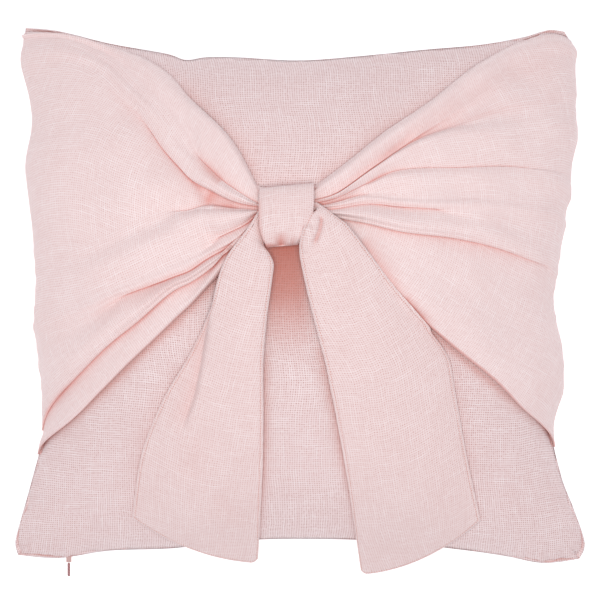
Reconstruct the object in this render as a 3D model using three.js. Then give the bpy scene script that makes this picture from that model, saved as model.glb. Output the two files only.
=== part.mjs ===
// A square cushion cover on its filling, lying on its back, with a large bow across its face.
// The bow is two gathered wings sewn into the side seams, a knot band round their middle and
// two tails that fall over the lower edge. Sizes are in millimetres, +Z is up, +Y is the top edge
// of the cushion, and the origin is the middle of the flat patch that it rests on.
import * as THREE from "three";
import { mergeVertices } from "three/addons/utils/BufferGeometryUtils.js";

// The filled cover.
const FILL = {
  seamHeight: 56, // the side seam above the floor, at the middle of a side
  cornerSag: 14, // how far the thin corners hang below that
  frontRise: 82, // crown of the face above the seam
  backDrop: 75, // crown of the back below the seam, before the floor flattens it
  fullness: 0.55, // power of the crown's profile
  floorBlend: 7, // how softly the back turns up from the floor
  across: 26, // cells from side to side
};
// The knot presses a hollow into the face.
const HOLLOW = { x: -10, y: 52, depth: 10, radius: 70 };

// Cloth thicknesses and the air between pieces.
const WING_THICK = 1.6;
const TAIL_THICK = 2.0;
const BAND_THICK = 2.2;
const SEWN_GAP = 0.9; // wing over the face, where it is sewn and where it lies

// The seam line, as points along each side. The corners are shared.
const CORNER = {
  topLeft: [-216, 206],
  topRight: [210, 200],
  bottomLeft: [-223, -208],
  bottomRight: [221, -211],
};
const SIDES = {
  left: [CORNER.bottomLeft, [-224, -198], [-217, -171], [-209, -139], [-202, -97], [-205, -46],
    [-208, 21], [-212, 92], [-213, 136], [-218, 182], CORNER.topLeft],
  right: [CORNER.bottomRight, [224, -200], [215, -171], [207, -141], [199, -105], [203, -66],
    [198, -6], [204, 41], [212, 100], [215, 136], [215, 180], CORNER.topRight],
  bottom: [CORNER.bottomLeft, [-190, -209], [-150, -204], [-79, -200], [0, -194], [79, -198],
    [150, -205], [190, -213], CORNER.bottomRight],
  top: [CORNER.topLeft, [-190, 205], [-150, 194], [-89, 182], [-47, 183], [-2, 182], [63, 186],
    [118, 193], [166, 198], [196, 204], CORNER.topRight],
};

// The creases of each wing, from its free top edge down to its hem. A row is one line of the
// cloth: where it comes out of the knot, three points on its way, and its end in the side seam.
// above and below say how steeply the cloth turns down into the crease on its two sides, from
// 0, a soft roll, to 1, a tight fold. fade is the share of the way at which the crease is gone.
// roll is how high the cloth puffs up between this line and the next, near the knot, halfway and
// at the seam, and cells is how many cells of the mesh cross that roll.
const LEFT_WING = [
  { knot: [-33, 72], near: [-58, 122], middle: [-95, 163], far: [-144, 194], seam: [-216, 206],
    above: 1, below: 1, fade: 2, roll: [8, 9, 1], cells: 4 },
  { knot: [-33, 71], near: [-63, 88], middle: [-90, 119], far: [-134, 164], seam: [-218, 193],
    above: 1, below: 0.7, fade: 0.42, roll: [7, 10, 1], cells: 4 },
  { knot: [-33, 66], near: [-68, 79], middle: [-103, 107], far: [-146, 157], seam: [-218, 172],
    above: 1, below: 0.1, fade: 0.75, roll: [3, 3, 2], cells: 6 },
  { knot: [-33, 62], near: [-75, 66], middle: [-118, 54], far: [-160, 36], seam: [-208, 24],
    above: 0.4, below: 0.6, fade: 0.3, roll: [8, 6, 2], cells: 4 },
  { knot: [-34, 58], near: [-63, 40], middle: [-87, 28], far: [-140, 8], seam: [-208, -16],
    above: 1, below: 0.5, fade: 0.35, roll: [7, 5, 2], cells: 3 },
  { knot: [-34, 54], near: [-71, 24], middle: [-110, 6], far: [-158, -18], seam: [-205, -58],
    above: 1, below: 0.6, fade: 0.6, roll: [6, 7, 3], cells: 4 },
  { knot: [-34, 50], near: [-71, 15], middle: [-111, -12], far: [-158, -54], seam: [-202, -109],
    above: 1, below: 0.4, fade: 2, roll: [6, 5, 1], cells: 3 },
  { knot: [-33, 46], near: [-67, 6], middle: [-110, -35], far: [-158, -81], seam: [-205, -129],
    above: 0.8, below: 0, fade: 2, roll: [0, 0, 0], cells: 0 },
];
const RIGHT_WING = [
  { knot: [12, 77.5], near: [50, 113], middle: [100, 151], far: [160, 194], seam: [210, 200],
    above: 1, below: 1, fade: 2, roll: [8, 8, 1], cells: 4 },
  { knot: [13, 75], near: [40, 87], middle: [95, 123], far: [160, 168], seam: [215, 183],
    above: 0.8, below: 0, fade: 0.5, roll: [3, 1, 0], cells: 3 },
  { knot: [13, 72], near: [40, 83], middle: [79, 110], far: [142, 134], seam: [215, 150],
    above: 0.1, below: 1, fade: 0.7, roll: [7, 7, 1], cells: 4 },
  { knot: [13, 68], near: [40, 75], middle: [77, 94], far: [150, 97], seam: [211, 81],
    above: 0.5, below: 1, fade: 2, roll: [7, 7, 2], cells: 4 },
  { knot: [13, 64], near: [43, 66], middle: [79, 65], far: [140, 61], seam: [205, 42],
    above: 1, below: 0.7, fade: 0.7, roll: [6, 5, 2], cells: 3 },
  { knot: [13, 60], near: [47, 52], middle: [90, 43], far: [158, 31], seam: [200, 13],
    above: 1, below: 0.2, fade: 0.85, roll: [3, 3, 1], cells: 3 },
  { knot: [13, 56], near: [47, 37], middle: [90, 8], far: [150, -28], seam: [202, -66],
    above: 0, below: 0, fade: 0.2, roll: [5, 6, 2], cells: 4 },
  { knot: [12, 51], near: [50, 25], middle: [95, -21], far: [155, -72], seam: [200, -123],
    above: 1, below: 0, fade: 2, roll: [0, 0, 0], cells: 0 },
];
// How high the creases lie above the face, in the knot and at shares of the way out to the seam.
const WING_RISE = [[0, 7.1], [0.12, 6], [0.45, 2.6], [1, 0]];
const FADE_SPREAD = 0.2; // share of the way over which a crease fades
const CROWDING = 0.35; // how much the mesh crowds towards the creases, from 0 to 1
const STEEPEST = 2; // slope of the skin beyond which the cloth gets no thicker along Z
const WING_ROWS = 22;
const KNOT_ROWS = 2; // further rows that run on inside the band
// Where the wings end inside the band: how far in, and how much lower and narrower they are there.
const GATHER = { y: 60, length: 19, squeeze: 0.78, flatten: 0.75 };

// The tails, as rungs from inside the knot to the end. left and right are the rung's ends, with
// their height over the face below, and dip lowers the cloth between them, below zero to raise it.
const LEFT_TAIL = {
  rungs: [
    { left: [-20, 65], right: [-16, 52], leftUp: 18, rightUp: 18, dip: 0 },
    { left: [-32, 61], right: [-31.5, 46], leftUp: 18.2, rightUp: 18, dip: -0.5 },
    { left: [-38, 53], right: [-32, 37], leftUp: 17.6, rightUp: 17.6, dip: -1 },
    { left: [-47, 40], right: [-23, 27], leftUp: 15.5, rightUp: 17, dip: -2 },
    { left: [-62, 11], right: [-22, 6], leftUp: 15.5, rightUp: 15, dip: -3 },
    { left: [-75, -16], right: [-25, -20], leftUp: 13.5, rightUp: 11, dip: -4 },
    { left: [-91, -48], right: [-28, -56], leftUp: 4.5, rightUp: 7, dip: -6 },
    { left: [-110, -86], right: [-28, -96], leftUp: 2.2, rightUp: 4, dip: -5 },
    { left: [-126, -128], right: [-29, -142], leftUp: 2.2, rightUp: 3, dip: -3 },
    { left: [-134, -178], right: [-33, -208], leftUp: 2.2, rightUp: 3, dip: -1 },
  ],
  bulge: 9,
};
const RIGHT_TAIL = {
  rungs: [
    { left: [-4, 54], right: [0, 66], leftUp: 17.6, rightUp: 17.6, dip: 0 },
    { left: [11, 48], right: [13, 68], leftUp: 17.6, rightUp: 17.6, dip: -0.5 },
    { left: [4, 34], right: [30, 57], leftUp: 17.5, rightUp: 17, dip: -2 },
    { left: [1, 12], right: [52, 36], leftUp: 15, rightUp: 15, dip: -3 },
    { left: [9, -16], right: [76, 5], leftUp: 12, rightUp: 14, dip: -3 },
    { left: [19, -54], right: [103, -30], leftUp: 8, rightUp: 12, dip: -3 },
    { left: [28, -98], right: [121, -76], leftUp: 4, rightUp: 3, dip: -3 },
    { left: [36, -144], right: [131, -128], leftUp: 3, rightUp: 2.2, dip: -2 },
    { left: [48, -217], right: [142, -180], leftUp: 3, rightUp: 2.2, dip: -1 },
  ],
  bulge: 10,
};
const TAIL_ROWS = 26;
const TAIL_CELLS = 9;
const TAIL_END = 0.8; // share of its length from which its slanting end bulges
const TAIL_LEAVES = -0.955; // v on the face where a tail stops following it and runs straight on
const TAIL_SLOPE = 1.15; // fall of that straight run

// The knot band, a closed loop round the middle of the wings.
const BAND = {
  x: -10,
  y: 59.5,
  halfHigh: 24.4, // along Y
  halfDeep: 11.5, // along Z
  lift: 0.2, // its back over the highest spot of the face below it
  leftEdge: [-33.5, -33, -28], // x at its top, middle and bottom
  rightEdge: [13.5, 9.5, -2],
  lean: 0.085, // rise of its top edge towards the right
  squareness: 2.7,
  around: 36,
  across: 6,
};

// The zip's slider and its cord pull, at the left end of the bottom seam.
const ZIP = {
  x: -183,
  gap: 0.5,
  slider: [4, 5, 3],
  pullGap: 0.3,
  pull: [2.2, 11, 1.4],
};

const COLOURS = { cover: 0xe9d3d1, bow: 0xf0dcda, pull: 0xb08480, slider: 0xc8a5a1 };

const clamp = (x, low, high) => Math.min(high, Math.max(low, x));
const mix = (a, b, t) => a + (b - a) * t;
const smooth = (from, to, x) => {
  const t = clamp((x - from) / (to - from), 0, 1);
  return t * t * (3 - 2 * t);
};
const curveOf = (points) => new THREE.SplineCurve(points.map(([x, y]) => new THREE.Vector2(x, y)));

const side = Object.fromEntries(Object.entries(SIDES).map(([name, points]) => [name, curveOf(points)]));

// The place on the plan of a point of the flat panel, u and v from -1 to 1 (a Coons patch).
function plan(u, v) {
  const U = clamp((u + 1) / 2, 0, 1);
  const V = clamp((v + 1) / 2, 0, 1);
  const left = side.left.getPointAt(V);
  const right = side.right.getPointAt(V);
  const bottom = side.bottom.getPointAt(U);
  const top = side.top.getPointAt(U);
  const place = (k) => {
    const key = k === 0 ? "x" : "y";
    const ruled = mix(left[key], right[key], U) + mix(bottom[key], top[key], V);
    const low = mix(CORNER.bottomLeft[k], CORNER.bottomRight[k], U);
    const high = mix(CORNER.topLeft[k], CORNER.topRight[k], U);
    return ruled - mix(low, high, V);
  };
  return [place(0), place(1)];
}

// The panel's u and v below a point of the plan.
function panelAt(x, y) {
  const halfWidth = 212;
  const halfHeight = 203;
  let u = clamp(x / halfWidth, -1, 1);
  let v = clamp(y / halfHeight, -1, 1);
  for (let step = 0; step < 14; step += 1) {
    const [px, py] = plan(u, v);
    u = clamp(u + (x - px) / halfWidth, -1, 1);
    v = clamp(v + (y - py) / halfHeight, -1, 1);
  }
  return [u, v];
}

const crown = (u, v) => Math.pow(Math.max(0, (1 - u * u) * (1 - v * v)), FILL.fullness);
const seamHeight = (u, v) => FILL.seamHeight - FILL.cornerSag * Math.pow(Math.abs(u * v), 3);

function facePoint(u, v) {
  const [x, y] = plan(u, v);
  const away = ((x - HOLLOW.x) ** 2 + (y - HOLLOW.y) ** 2) / HOLLOW.radius ** 2;
  const rise = crown(u, v);
  const z = seamHeight(u, v) + rise * (FILL.frontRise - HOLLOW.depth * Math.exp(-away));
  return new THREE.Vector3(x, y, z);
}

function backPoint(u, v) {
  const [x, y] = plan(u, v);
  const fall = crown(u, v);
  const free = seamHeight(u, v) - FILL.backDrop * fall;
  const lifted = free > 0 ? (free * free) / (free + FILL.floorBlend) : 0;
  return new THREE.Vector3(x, y, mix(seamHeight(u, v), lifted, smooth(0, 0.2, fall)));
}

// The face's outward direction, from steps of angle so that it stays true up to the seam.
function faceNormal(u, v) {
  const limit = Math.sin(1.5);
  const step = 0.012;
  const a = Math.asin(clamp(u, -limit, limit));
  const b = Math.asin(clamp(v, -limit, limit));
  const along = facePoint(Math.sin(a + step), Math.sin(b)).sub(facePoint(Math.sin(a - step), Math.sin(b)));
  const up = facePoint(Math.sin(a), Math.sin(b + step)).sub(facePoint(Math.sin(a), Math.sin(b - step)));
  return along.cross(up).normalize();
}

// A closed sheet between two grids of points: skin faces out, and lining is the other side.
function sheetGeometry(skin, lining, looped = false) {
  const rows = skin.length;
  const columns = skin[0].length;
  const corners = [];
  for (const grid of [skin, lining]) {
    for (const row of grid) {
      for (const p of row) corners.push(p.x, p.y, p.z);
    }
  }
  const faces = [];
  const at = (layer, i, j) => layer * rows * columns + (i % rows) * columns + j;
  const quad = (a, b, c, d) => faces.push(a, b, c, a, c, d);
  const lastRow = looped ? rows : rows - 1;
  for (let i = 0; i < lastRow; i += 1) {
    for (let j = 0; j < columns - 1; j += 1) {
      quad(at(0, i, j), at(0, i, j + 1), at(0, i + 1, j + 1), at(0, i + 1, j));
      quad(at(1, i, j), at(1, i + 1, j), at(1, i + 1, j + 1), at(1, i, j + 1));
    }
    quad(at(0, i, 0), at(0, i + 1, 0), at(1, i + 1, 0), at(1, i, 0));
    const j = columns - 1;
    quad(at(0, i, j), at(1, i, j), at(1, i + 1, j), at(0, i + 1, j));
  }
  if (!looped) {
    const i = rows - 1;
    for (let j = 0; j < columns - 1; j += 1) {
      quad(at(0, 0, j), at(1, 0, j), at(1, 0, j + 1), at(0, 0, j + 1));
      quad(at(0, i, j), at(0, i, j + 1), at(1, i, j + 1), at(1, i, j));
    }
  }
  const geometry = new THREE.BufferGeometry();
  geometry.setAttribute("position", new THREE.Float32BufferAttribute(corners, 3));
  geometry.setIndex(faces);
  return geometry;
}

function cushionGeometry() {
  const cells = FILL.across;
  const angle = (k) => Math.sin(((k / cells) * 2 - 1) * (Math.PI / 2));
  const grid = (point) => {
    const rows = [];
    for (let i = 0; i <= cells; i += 1) {
      rows.push(Array.from({ length: cells + 1 }, (_, j) => point(angle(j), angle(i))));
    }
    return rows;
  };
  const face = grid(facePoint);
  const back = grid(backPoint);
  const corners = [];
  const faces = [];
  const at = (layer, i, j) => layer * (cells + 1) ** 2 + i * (cells + 1) + j;
  for (const layer of [face, back]) {
    for (const row of layer) {
      for (const p of row) corners.push(p.x, p.y, p.z);
    }
  }
  for (let i = 0; i < cells; i += 1) {
    for (let j = 0; j < cells; j += 1) {
      const [a, b, c, d] = [at(0, i, j), at(0, i, j + 1), at(0, i + 1, j + 1), at(0, i + 1, j)];
      faces.push(a, b, c, a, c, d);
      const [e, f, g, h] = [at(1, i, j), at(1, i + 1, j), at(1, i + 1, j + 1), at(1, i, j + 1)];
      faces.push(e, f, g, e, g, h);
    }
  }
  const geometry = new THREE.BufferGeometry();
  geometry.setAttribute("position", new THREE.Float32BufferAttribute(corners, 3));
  geometry.setIndex(faces);
  return mergeVertices(geometry, 1e-3);
}

// One line of a wing as a curve over the panel's angles, so that it rounds the side evenly.
function wingLine(row, outward) {
  const limit = Math.PI / 2 - 0.01;
  const points = [row.knot, row.near, row.middle, row.far, row.seam].map(([x, y]) => {
    const [u, v] = panelAt(x, y);
    return new THREE.Vector2(Math.asin(u), Math.asin(v));
  });
  points[4].x = outward * limit;
  const curve = new THREE.SplineCurve(points);
  return (t) => {
    const p = curve.getPoint(t);
    return [Math.sin(clamp(p.x, -limit, limit)), Math.sin(clamp(p.y, -limit, limit))];
  };
}

// Height of a value given near the knot, halfway and at the seam.
function along([near, middle, seam], t) {
  return t < 0.5 ? mix(near, middle, smooth(0.1, 0.5, t)) : mix(middle, seam, smooth(0.5, 1, t));
}

function creaseRise(t) {
  const next = Math.max(1, WING_RISE.findIndex(([share]) => share >= t));
  const [[from, low], [to, high]] = [WING_RISE[next - 1], WING_RISE[next]];
  return mix(low, high, smooth(from, to, t));
}

// The cloth's height across one roll, 0 in the crease and 1 on top. Each half is a quarter round
// where the crease is tight, and a soft slope where it isn't.
function rollProfile(q, tightStart, tightEnd) {
  const r = q < 0.5 ? 2 * q : 2 - 2 * q;
  const tight = q < 0.5 ? tightStart : tightEnd;
  return mix(r * r * (3 - 2 * r), Math.sqrt(r * (2 - r)), tight);
}

// The columns of a wing's mesh: each names its two lines and the share of the way between them.
function wingColumns(table) {
  const columns = [];
  table.slice(0, -1).forEach((row, k) => {
    for (let c = 0; c < row.cells; c += 1) {
      const even = c / row.cells;
      columns.push({ k, q: mix(even, smooth(0, 1, even), CROWDING) });
    }
  });
  columns.push({ k: table.length - 2, q: 1 });
  return columns;
}

function wingGeometry(table, outward) {
  const lines = table.map((row) => wingLine(row, outward));
  const columns = wingColumns(table);
  const places = [];
  for (let i = -KNOT_ROWS; i <= WING_ROWS; i += 1) {
    const t = Math.max(0, i / WING_ROWS);
    const inside = Math.max(0, -i / KNOT_ROWS);
    places.push(columns.map(({ k, q }) => {
      const [u0, v0] = lines[k](t);
      const [u1, v1] = lines[k + 1](t);
      let [u, v] = [mix(u0, u1, q), mix(v0, v1, q)];
      if (inside > 0) {
        const [x, y] = plan(u, v);
        const pinched = GATHER.y + (y - GATHER.y) * mix(1, GATHER.squeeze, inside);
        [u, v] = panelAt(x - outward * GATHER.length * inside, pinched);
      }
      const [start, end] = [table[k], table[k + 1]];
      const left = ({ fade }) => 1 - smooth(fade - FADE_SPREAD, fade + FADE_SPREAD, t);
      const roll = along(start.roll, t) * mix(1, GATHER.flatten, inside);
      const shape = rollProfile(q, start.below * left(start), end.above * left(end));
      const high = creaseRise(t) + roll * shape;
      return { foot: facePoint(u, v), out: faceNormal(u, v), high };
    }));
  }
  const steepness = (i, j) => {
    let steep = 0;
    for (const step of [-1, 1]) {
      const other = places[i][j + step];
      if (!other) continue;
      const here = places[i][j];
      steep = Math.max(steep, Math.abs(other.high - here.high) / other.foot.distanceTo(here.foot));
    }
    return Math.min(steep, STEEPEST);
  };
  const skin = places.map((row) => row.map(({ foot, out, high }) => (
    foot.clone().addScaledVector(out, SEWN_GAP + WING_THICK + high))));
  const lining = places.map((row, i) => row.map(({ foot, out, high }, j) => {
    const thick = WING_THICK * Math.sqrt(1 + steepness(i, j) ** 2);
    const under = Math.max(0, WING_THICK + high - thick);
    return foot.clone().addScaledVector(out, SEWN_GAP + under);
  }));
  const order = (grid) => (outward > 0 ? grid : grid.map((row) => [...row].reverse()));
  return sheetGeometry(order(skin), order(lining));
}

// The surface that a tail lies over: the face, and a straight slope past the cushion's lower edge.
function underTail(x, y) {
  const [u, v] = panelAt(x, y);
  if (v > TAIL_LEAVES) return facePoint(u, v).z;
  const leave = plan(u, TAIL_LEAVES);
  return facePoint(u, TAIL_LEAVES).z - TAIL_SLOPE * (leave[1] - y);
}

function tailGeometry({ rungs, bulge }) {
  const curve = (pick) => new THREE.CatmullRomCurve3(rungs.map(pick), false, "centripetal");
  const leftEdge = curve(({ left, leftUp }) => new THREE.Vector3(...left, leftUp));
  const rightEdge = curve(({ right, rightUp }) => new THREE.Vector3(...right, rightUp));
  const dips = curve(({ dip }, k) => new THREE.Vector3(k, dip, 0));
  const skin = [];
  const lining = [];
  for (let i = 0; i <= TAIL_ROWS; i += 1) {
    const t = i / TAIL_ROWS;
    const [a, b] = [leftEdge.getPoint(t), rightEdge.getPoint(t)];
    const dip = dips.getPoint(t).y;
    const endward = smooth(TAIL_END, 1, t) * bulge;
    const upper = [];
    const lower = [];
    for (let j = 0; j <= TAIL_CELLS; j += 1) {
      const s = j / TAIL_CELLS;
      const hump = 4 * s * (1 - s);
      const x = mix(a.x, b.x, s);
      const y = mix(a.y, b.y, s) - endward * hump;
      const z = underTail(x, y) + mix(a.z, b.z, s) - dip * hump;
      lower.push(new THREE.Vector3(x, y, z));
      upper.push(new THREE.Vector3(x, y, z + TAIL_THICK));
    }
    skin.push(upper);
    lining.push(lower);
  }
  return sheetGeometry(skin.reverse(), lining.reverse());
}

// The parabola through three values at 0, 0.5 and 1.
const through = ([a, b, c], t) => a + (4 * b - 3 * a - c) * t + 2 * (a - 2 * b + c) * t * t;

function bandGeometry() {
  const faceHeight = (x, y) => facePoint(...panelAt(BAND.x + x, BAND.y + y)).z;
  const [reachX, reachY] = [22, 20];
  const slope = (faceHeight(0, reachY) - faceHeight(0, -reachY)) / (2 * reachY);
  const highest = Math.max(...[-reachY, 0, reachY].flatMap((y) => (
    [-reachX, 0, reachX].map((x) => faceHeight(x, y) - slope * y))));
  const middle = highest + BAND.lift + BAND.halfDeep;
  const power = 2 / BAND.squareness;
  const round = (c) => Math.sign(c) * Math.pow(Math.abs(c), power);
  const ring = (inset) => Array.from({ length: BAND.around }, (_, k) => {
    const angle = (k / BAND.around) * 2 * Math.PI;
    const toBottom = (1 - Math.cos(angle)) / 2;
    const [left, right] = [through(BAND.leftEdge, toBottom), through(BAND.rightEdge, toBottom)];
    return Array.from({ length: BAND.across + 1 }, (_, j) => {
      const x = mix(left, right, j / BAND.across);
      const y = BAND.y + (BAND.halfHigh - inset) * round(Math.cos(angle)) + BAND.lean * (x - BAND.x);
      const z = middle + slope * (y - BAND.y) + (BAND.halfDeep - inset) * round(Math.sin(angle));
      return new THREE.Vector3(x, y, z);
    });
  });
  return sheetGeometry(ring(0).reverse(), ring(BAND_THICK).reverse(), true);
}

function zipMeshes() {
  const [u] = panelAt(ZIP.x, CORNER.bottomLeft[1]);
  const seam = facePoint(u, -1);
  const slider = new THREE.BoxGeometry(...ZIP.slider);
  const sliderTop = seam.y - ZIP.gap;
  slider.translate(seam.x, sliderTop - ZIP.slider[1] / 2, seam.z);
  const [wide, long, thick] = ZIP.pull;
  const pull = new THREE.CapsuleGeometry(wide / 2, long - wide, 3, 10);
  pull.scale(1, 1, thick / wide);
  pull.translate(seam.x, sliderTop - ZIP.slider[1] - ZIP.pullGap - long / 2, seam.z);
  return { slider, pull };
}

const cloth = (colour) => new THREE.MeshStandardMaterial({ color: colour, roughness: 0.95, metalness: 0 });

const group = new THREE.Group();
group.name = "bow_cushion_cover";
function add(name, geometry, colour) {
  const mesh = new THREE.Mesh(geometry, cloth(colour));
  mesh.name = name;
  group.add(mesh);
}

add("cushion", cushionGeometry(), COLOURS.cover);
add("left_wing", wingGeometry(LEFT_WING, -1), COLOURS.bow);
add("right_wing", wingGeometry(RIGHT_WING, 1), COLOURS.bow);
add("left_tail", tailGeometry(LEFT_TAIL), COLOURS.bow);
add("right_tail", tailGeometry(RIGHT_TAIL), COLOURS.bow);
add("knot_band", bandGeometry(), COLOURS.bow);
const zip = zipMeshes();
add("zip_slider", zip.slider, COLOURS.slider);
add("zip_pull", zip.pull, COLOURS.pull);

export default group;
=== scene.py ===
# %% [markdown]
# # A linen cushion with a bow, lying on its back
# This lesson dresses a imported CAD model of a cushion cover. The cover is pale pink slub linen on a
# soft filling. Across its face lies a bow: two gathered wings sewn into the side seams, a knot band
# round their middle, and two tails. The CAD model fixes every place and size. Here each piece of
# cloth is made again as a fine mesh with its folds, its weave and its stitches.
# The first cell loads the CAD model.

import bmesh
import bpy
import numpy as np
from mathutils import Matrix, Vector
from mathutils.bvhtree import BVHTree


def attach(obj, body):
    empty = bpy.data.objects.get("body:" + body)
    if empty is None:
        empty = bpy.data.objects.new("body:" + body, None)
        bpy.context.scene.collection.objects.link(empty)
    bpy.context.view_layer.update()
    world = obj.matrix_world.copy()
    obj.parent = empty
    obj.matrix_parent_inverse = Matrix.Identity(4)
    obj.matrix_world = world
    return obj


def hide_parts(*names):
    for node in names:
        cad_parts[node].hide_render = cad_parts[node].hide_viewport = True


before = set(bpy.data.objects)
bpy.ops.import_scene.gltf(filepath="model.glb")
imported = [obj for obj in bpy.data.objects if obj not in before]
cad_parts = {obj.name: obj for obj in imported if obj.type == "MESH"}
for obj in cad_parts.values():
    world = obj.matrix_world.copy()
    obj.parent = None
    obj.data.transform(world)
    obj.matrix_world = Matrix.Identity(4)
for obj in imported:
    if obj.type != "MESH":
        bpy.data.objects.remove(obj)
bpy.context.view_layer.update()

# %% [markdown]
# ## Camera, floor and light
# The photo looks straight at the cushion's face, and the cushion lies on its back, so the camera hangs
# straight above it. A long lens far away keeps the picture free of perspective, as in the photo. The
# size of the view follows from one scale: 0.79 mm for each pixel of a 600 pixel picture.

# %% Camera
MM = 0.001
PIXEL = 0.79 * MM
PHOTO_SIDE = 600
CAMERA_HEIGHT = 4.0
SEAM_LEVEL = 0.056
VIEW_CENTRE = (0.0, -8 * PIXEL)

lens_data = bpy.data.cameras.new("camera")
lens_data.sensor_width = 36
lens_data.lens = 36 * (CAMERA_HEIGHT - SEAM_LEVEL) / (PHOTO_SIDE * PIXEL)
lens_data.clip_start = 0.1
lens_data.clip_end = 20
camera = bpy.data.objects.new("camera", lens_data)
camera.location = (*VIEW_CENTRE, CAMERA_HEIGHT)
bpy.context.scene.collection.objects.link(camera)
bpy.context.scene.camera = camera
print("lens", round(lens_data.lens), "mm")

# %% [markdown]
# ## Two small tools for materials
# Colours are picked as sRGB hex codes, as in a paint program, but the renderer counts light, so one
# function turns them to linear values. A second one adds a node, with its settings and its links.

# %% Colours and nodes
def linear(code):
    """The linear colour of an sRGB hex code."""
    parts = [int(code[i:i + 2], 16) / 255 for i in (0, 2, 4)]
    return tuple(c / 12.92 if c <= 0.04045 else ((c + 0.055) / 1.055) ** 2.4 for c in parts)


def add(tree, kind, sockets=None, **settings):
    """Adds a node with its settings, and sets or links its sockets by name or number."""
    made = tree.nodes.new("ShaderNode" + kind)
    for name, value in settings.items():
        setattr(made, name, value)
    for name, value in (sockets or {}).items():
        if isinstance(value, bpy.types.Node):
            value = value.outputs[0]
        if isinstance(value, bpy.types.NodeSocket):
            tree.links.new(value, made.inputs[name])
        else:
            made.inputs[name].default_value = value
    return made


print("a pale pink in linear values:", [round(c, 3) for c in linear("F4DEDB")])

# %% [markdown]
# ## Light and floor
# Soft goods are photographed in a bright white tent. One wide lamp hangs above the knot, so the light is
# fullest there and falls off towards the corners. Cool, pale surroundings fill the folds from all sides.
# The paper below glows a little, so it stays white right up to the cushion. Blender's Standard view
# keeps the colours as they are mixed, which helps when they are matched.

# %% Lamp and surroundings
LAMP_PLACE, LAMP_AIM = Vector((-0.03, -0.03, 1.6)), Vector((0, 0, 0.05))
LAMP_SIZE, LAMP_WATTS = 0.7, 12.4
WARM_WHITE, COOL_WHITE = (1.0, 0.99, 0.975), (0.88, 0.92, 1.0, 1)
SKY_STRENGTH = 0.59

lamp_data = bpy.data.lights.new("front_lamp", "AREA")
lamp_data.shape = "DISK"
lamp_data.size = LAMP_SIZE
lamp_data.energy = LAMP_WATTS
lamp_data.color = WARM_WHITE
lamp = bpy.data.objects.new("front_lamp", lamp_data)
lamp.location = LAMP_PLACE
lamp.rotation_euler = (LAMP_AIM - LAMP_PLACE).to_track_quat("-Z", "Y").to_euler()
bpy.context.scene.collection.objects.link(lamp)

world = bpy.data.worlds.new("studio")
world.use_nodes = True
world.node_tree.nodes["Background"].inputs["Color"].default_value = COOL_WHITE
world.node_tree.nodes["Background"].inputs["Strength"].default_value = SKY_STRENGTH
bpy.context.scene.world = world
bpy.context.scene.view_settings.view_transform = "Standard"
print("one lamp of", LAMP_WATTS, "W at", round(LAMP_PLACE.z, 1), "m")

# %% Floor
# Matt white paper: no gloss, and a little light of its own.
floor_mesh = bpy.data.meshes.new("floor")
floor_bm = bmesh.new()
bmesh.ops.create_grid(floor_bm, x_segments=1, y_segments=1, size=4)
floor_bm.to_mesh(floor_mesh)
floor_bm.free()
floor = bpy.data.objects.new("floor", floor_mesh)
bpy.context.scene.collection.objects.link(floor)
paper = bpy.data.materials.new("white_paper")
paper.use_nodes = True
paper_shader = paper.node_tree.nodes["Principled BSDF"]
paper_shader.inputs["Base Color"].default_value = (*linear("F7F6F5"), 1)
paper_shader.inputs["Roughness"].default_value = 0.9
paper_shader.inputs["Emission Color"].default_value = (1, 1, 1, 1)
paper_shader.inputs["Emission Strength"].default_value = 0.5
floor_mesh.materials.append(paper)
print("floor of", paper.name)

# %% [markdown]
# ## Slub linen
# Linen is woven from flax. Its yarns are uneven: thick soft stretches, called slubs, show as light
# streaks along both directions, and the open plain weave leaves small dark gaps between the yarns. An
# image could hold that, but a pattern made of nodes is sharp at any size. It reads each piece's own UV
# map, which holds metres of flat cloth, so the yarns follow every fold. Two sine waves make the grid
# of yarns, stretched noise makes the slubs, and both also drive the bump. The yarns are 1.85 mm apart,
# about twice as coarse as real ones, because finer ones turn into bands in a picture of 600 pixels.
# Deep in a fold the light has met the pink cloth many times and turns to salmon. That salmon is
# painted shade in the base colour: ambient occlusion finds the narrow places, and a "shade" attribute
# marks the wide ones that each piece knows of.
# The linen is a dry, matt cloth with a slight bloom at grazing angles, so it is rough with some sheen.

# %% Sizes of the weave
YARN_PITCH = 1.85 * MM
SLUB_LENGTH = 22 * MM
WAVERS_PER_METRE, WAVER_YARNS = 60, 0.9
CLOUDS_PER_METRE, CLOUD_STRENGTH = 22, 0.25
GAP_DEPTH, SLUB_HEIGHT, RELIEF = 0.8, 0.8, 0.22 * MM
# The painted shade of folds: how far ambient occlusion looks, and how open a place is before it gets any.
FOLD_REACH, FOLD_OPEN = 10 * MM, 0.8
SOFT_NOISE = {"Scale": 1.0, "Detail": 1.0, "Roughness": 0.6}
print("yarns", round(YARN_PITCH / MM, 2), "mm apart, slubs about", round(SLUB_LENGTH / MM), "mm long")


# %% The yarns of one direction
def yarns(tree, place, number, axis):
    """Two patterns: the tone of each stretch of yarn, and how far a point is into the yarn's body."""
    turn = add(tree, "Math", {0: place.outputs[axis], 1: 2 * np.pi}, operation="MULTIPLY")
    wave = add(tree, "Math", {0: turn}, operation="COSINE")
    body = add(tree, "MapRange", {"Value": wave, "From Min": -0.9, "From Max": 0.9, "To Min": 1.0,
                                  "To Max": 0.0})
    yarn = add(tree, "Math", {0: number.outputs[axis], 1: 2.37, 2: 17.0 * axis}, operation="MULTIPLY_ADD")
    run = add(tree, "Math", {0: place.outputs[1 - axis], 1: YARN_PITCH / SLUB_LENGTH}, operation="MULTIPLY")
    spot = add(tree, "CombineXYZ", {0: yarn, 1: run})
    return add(tree, "TexNoise", {"Vector": spot, **SOFT_NOISE}), body


print("yarns() is ready")


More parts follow.
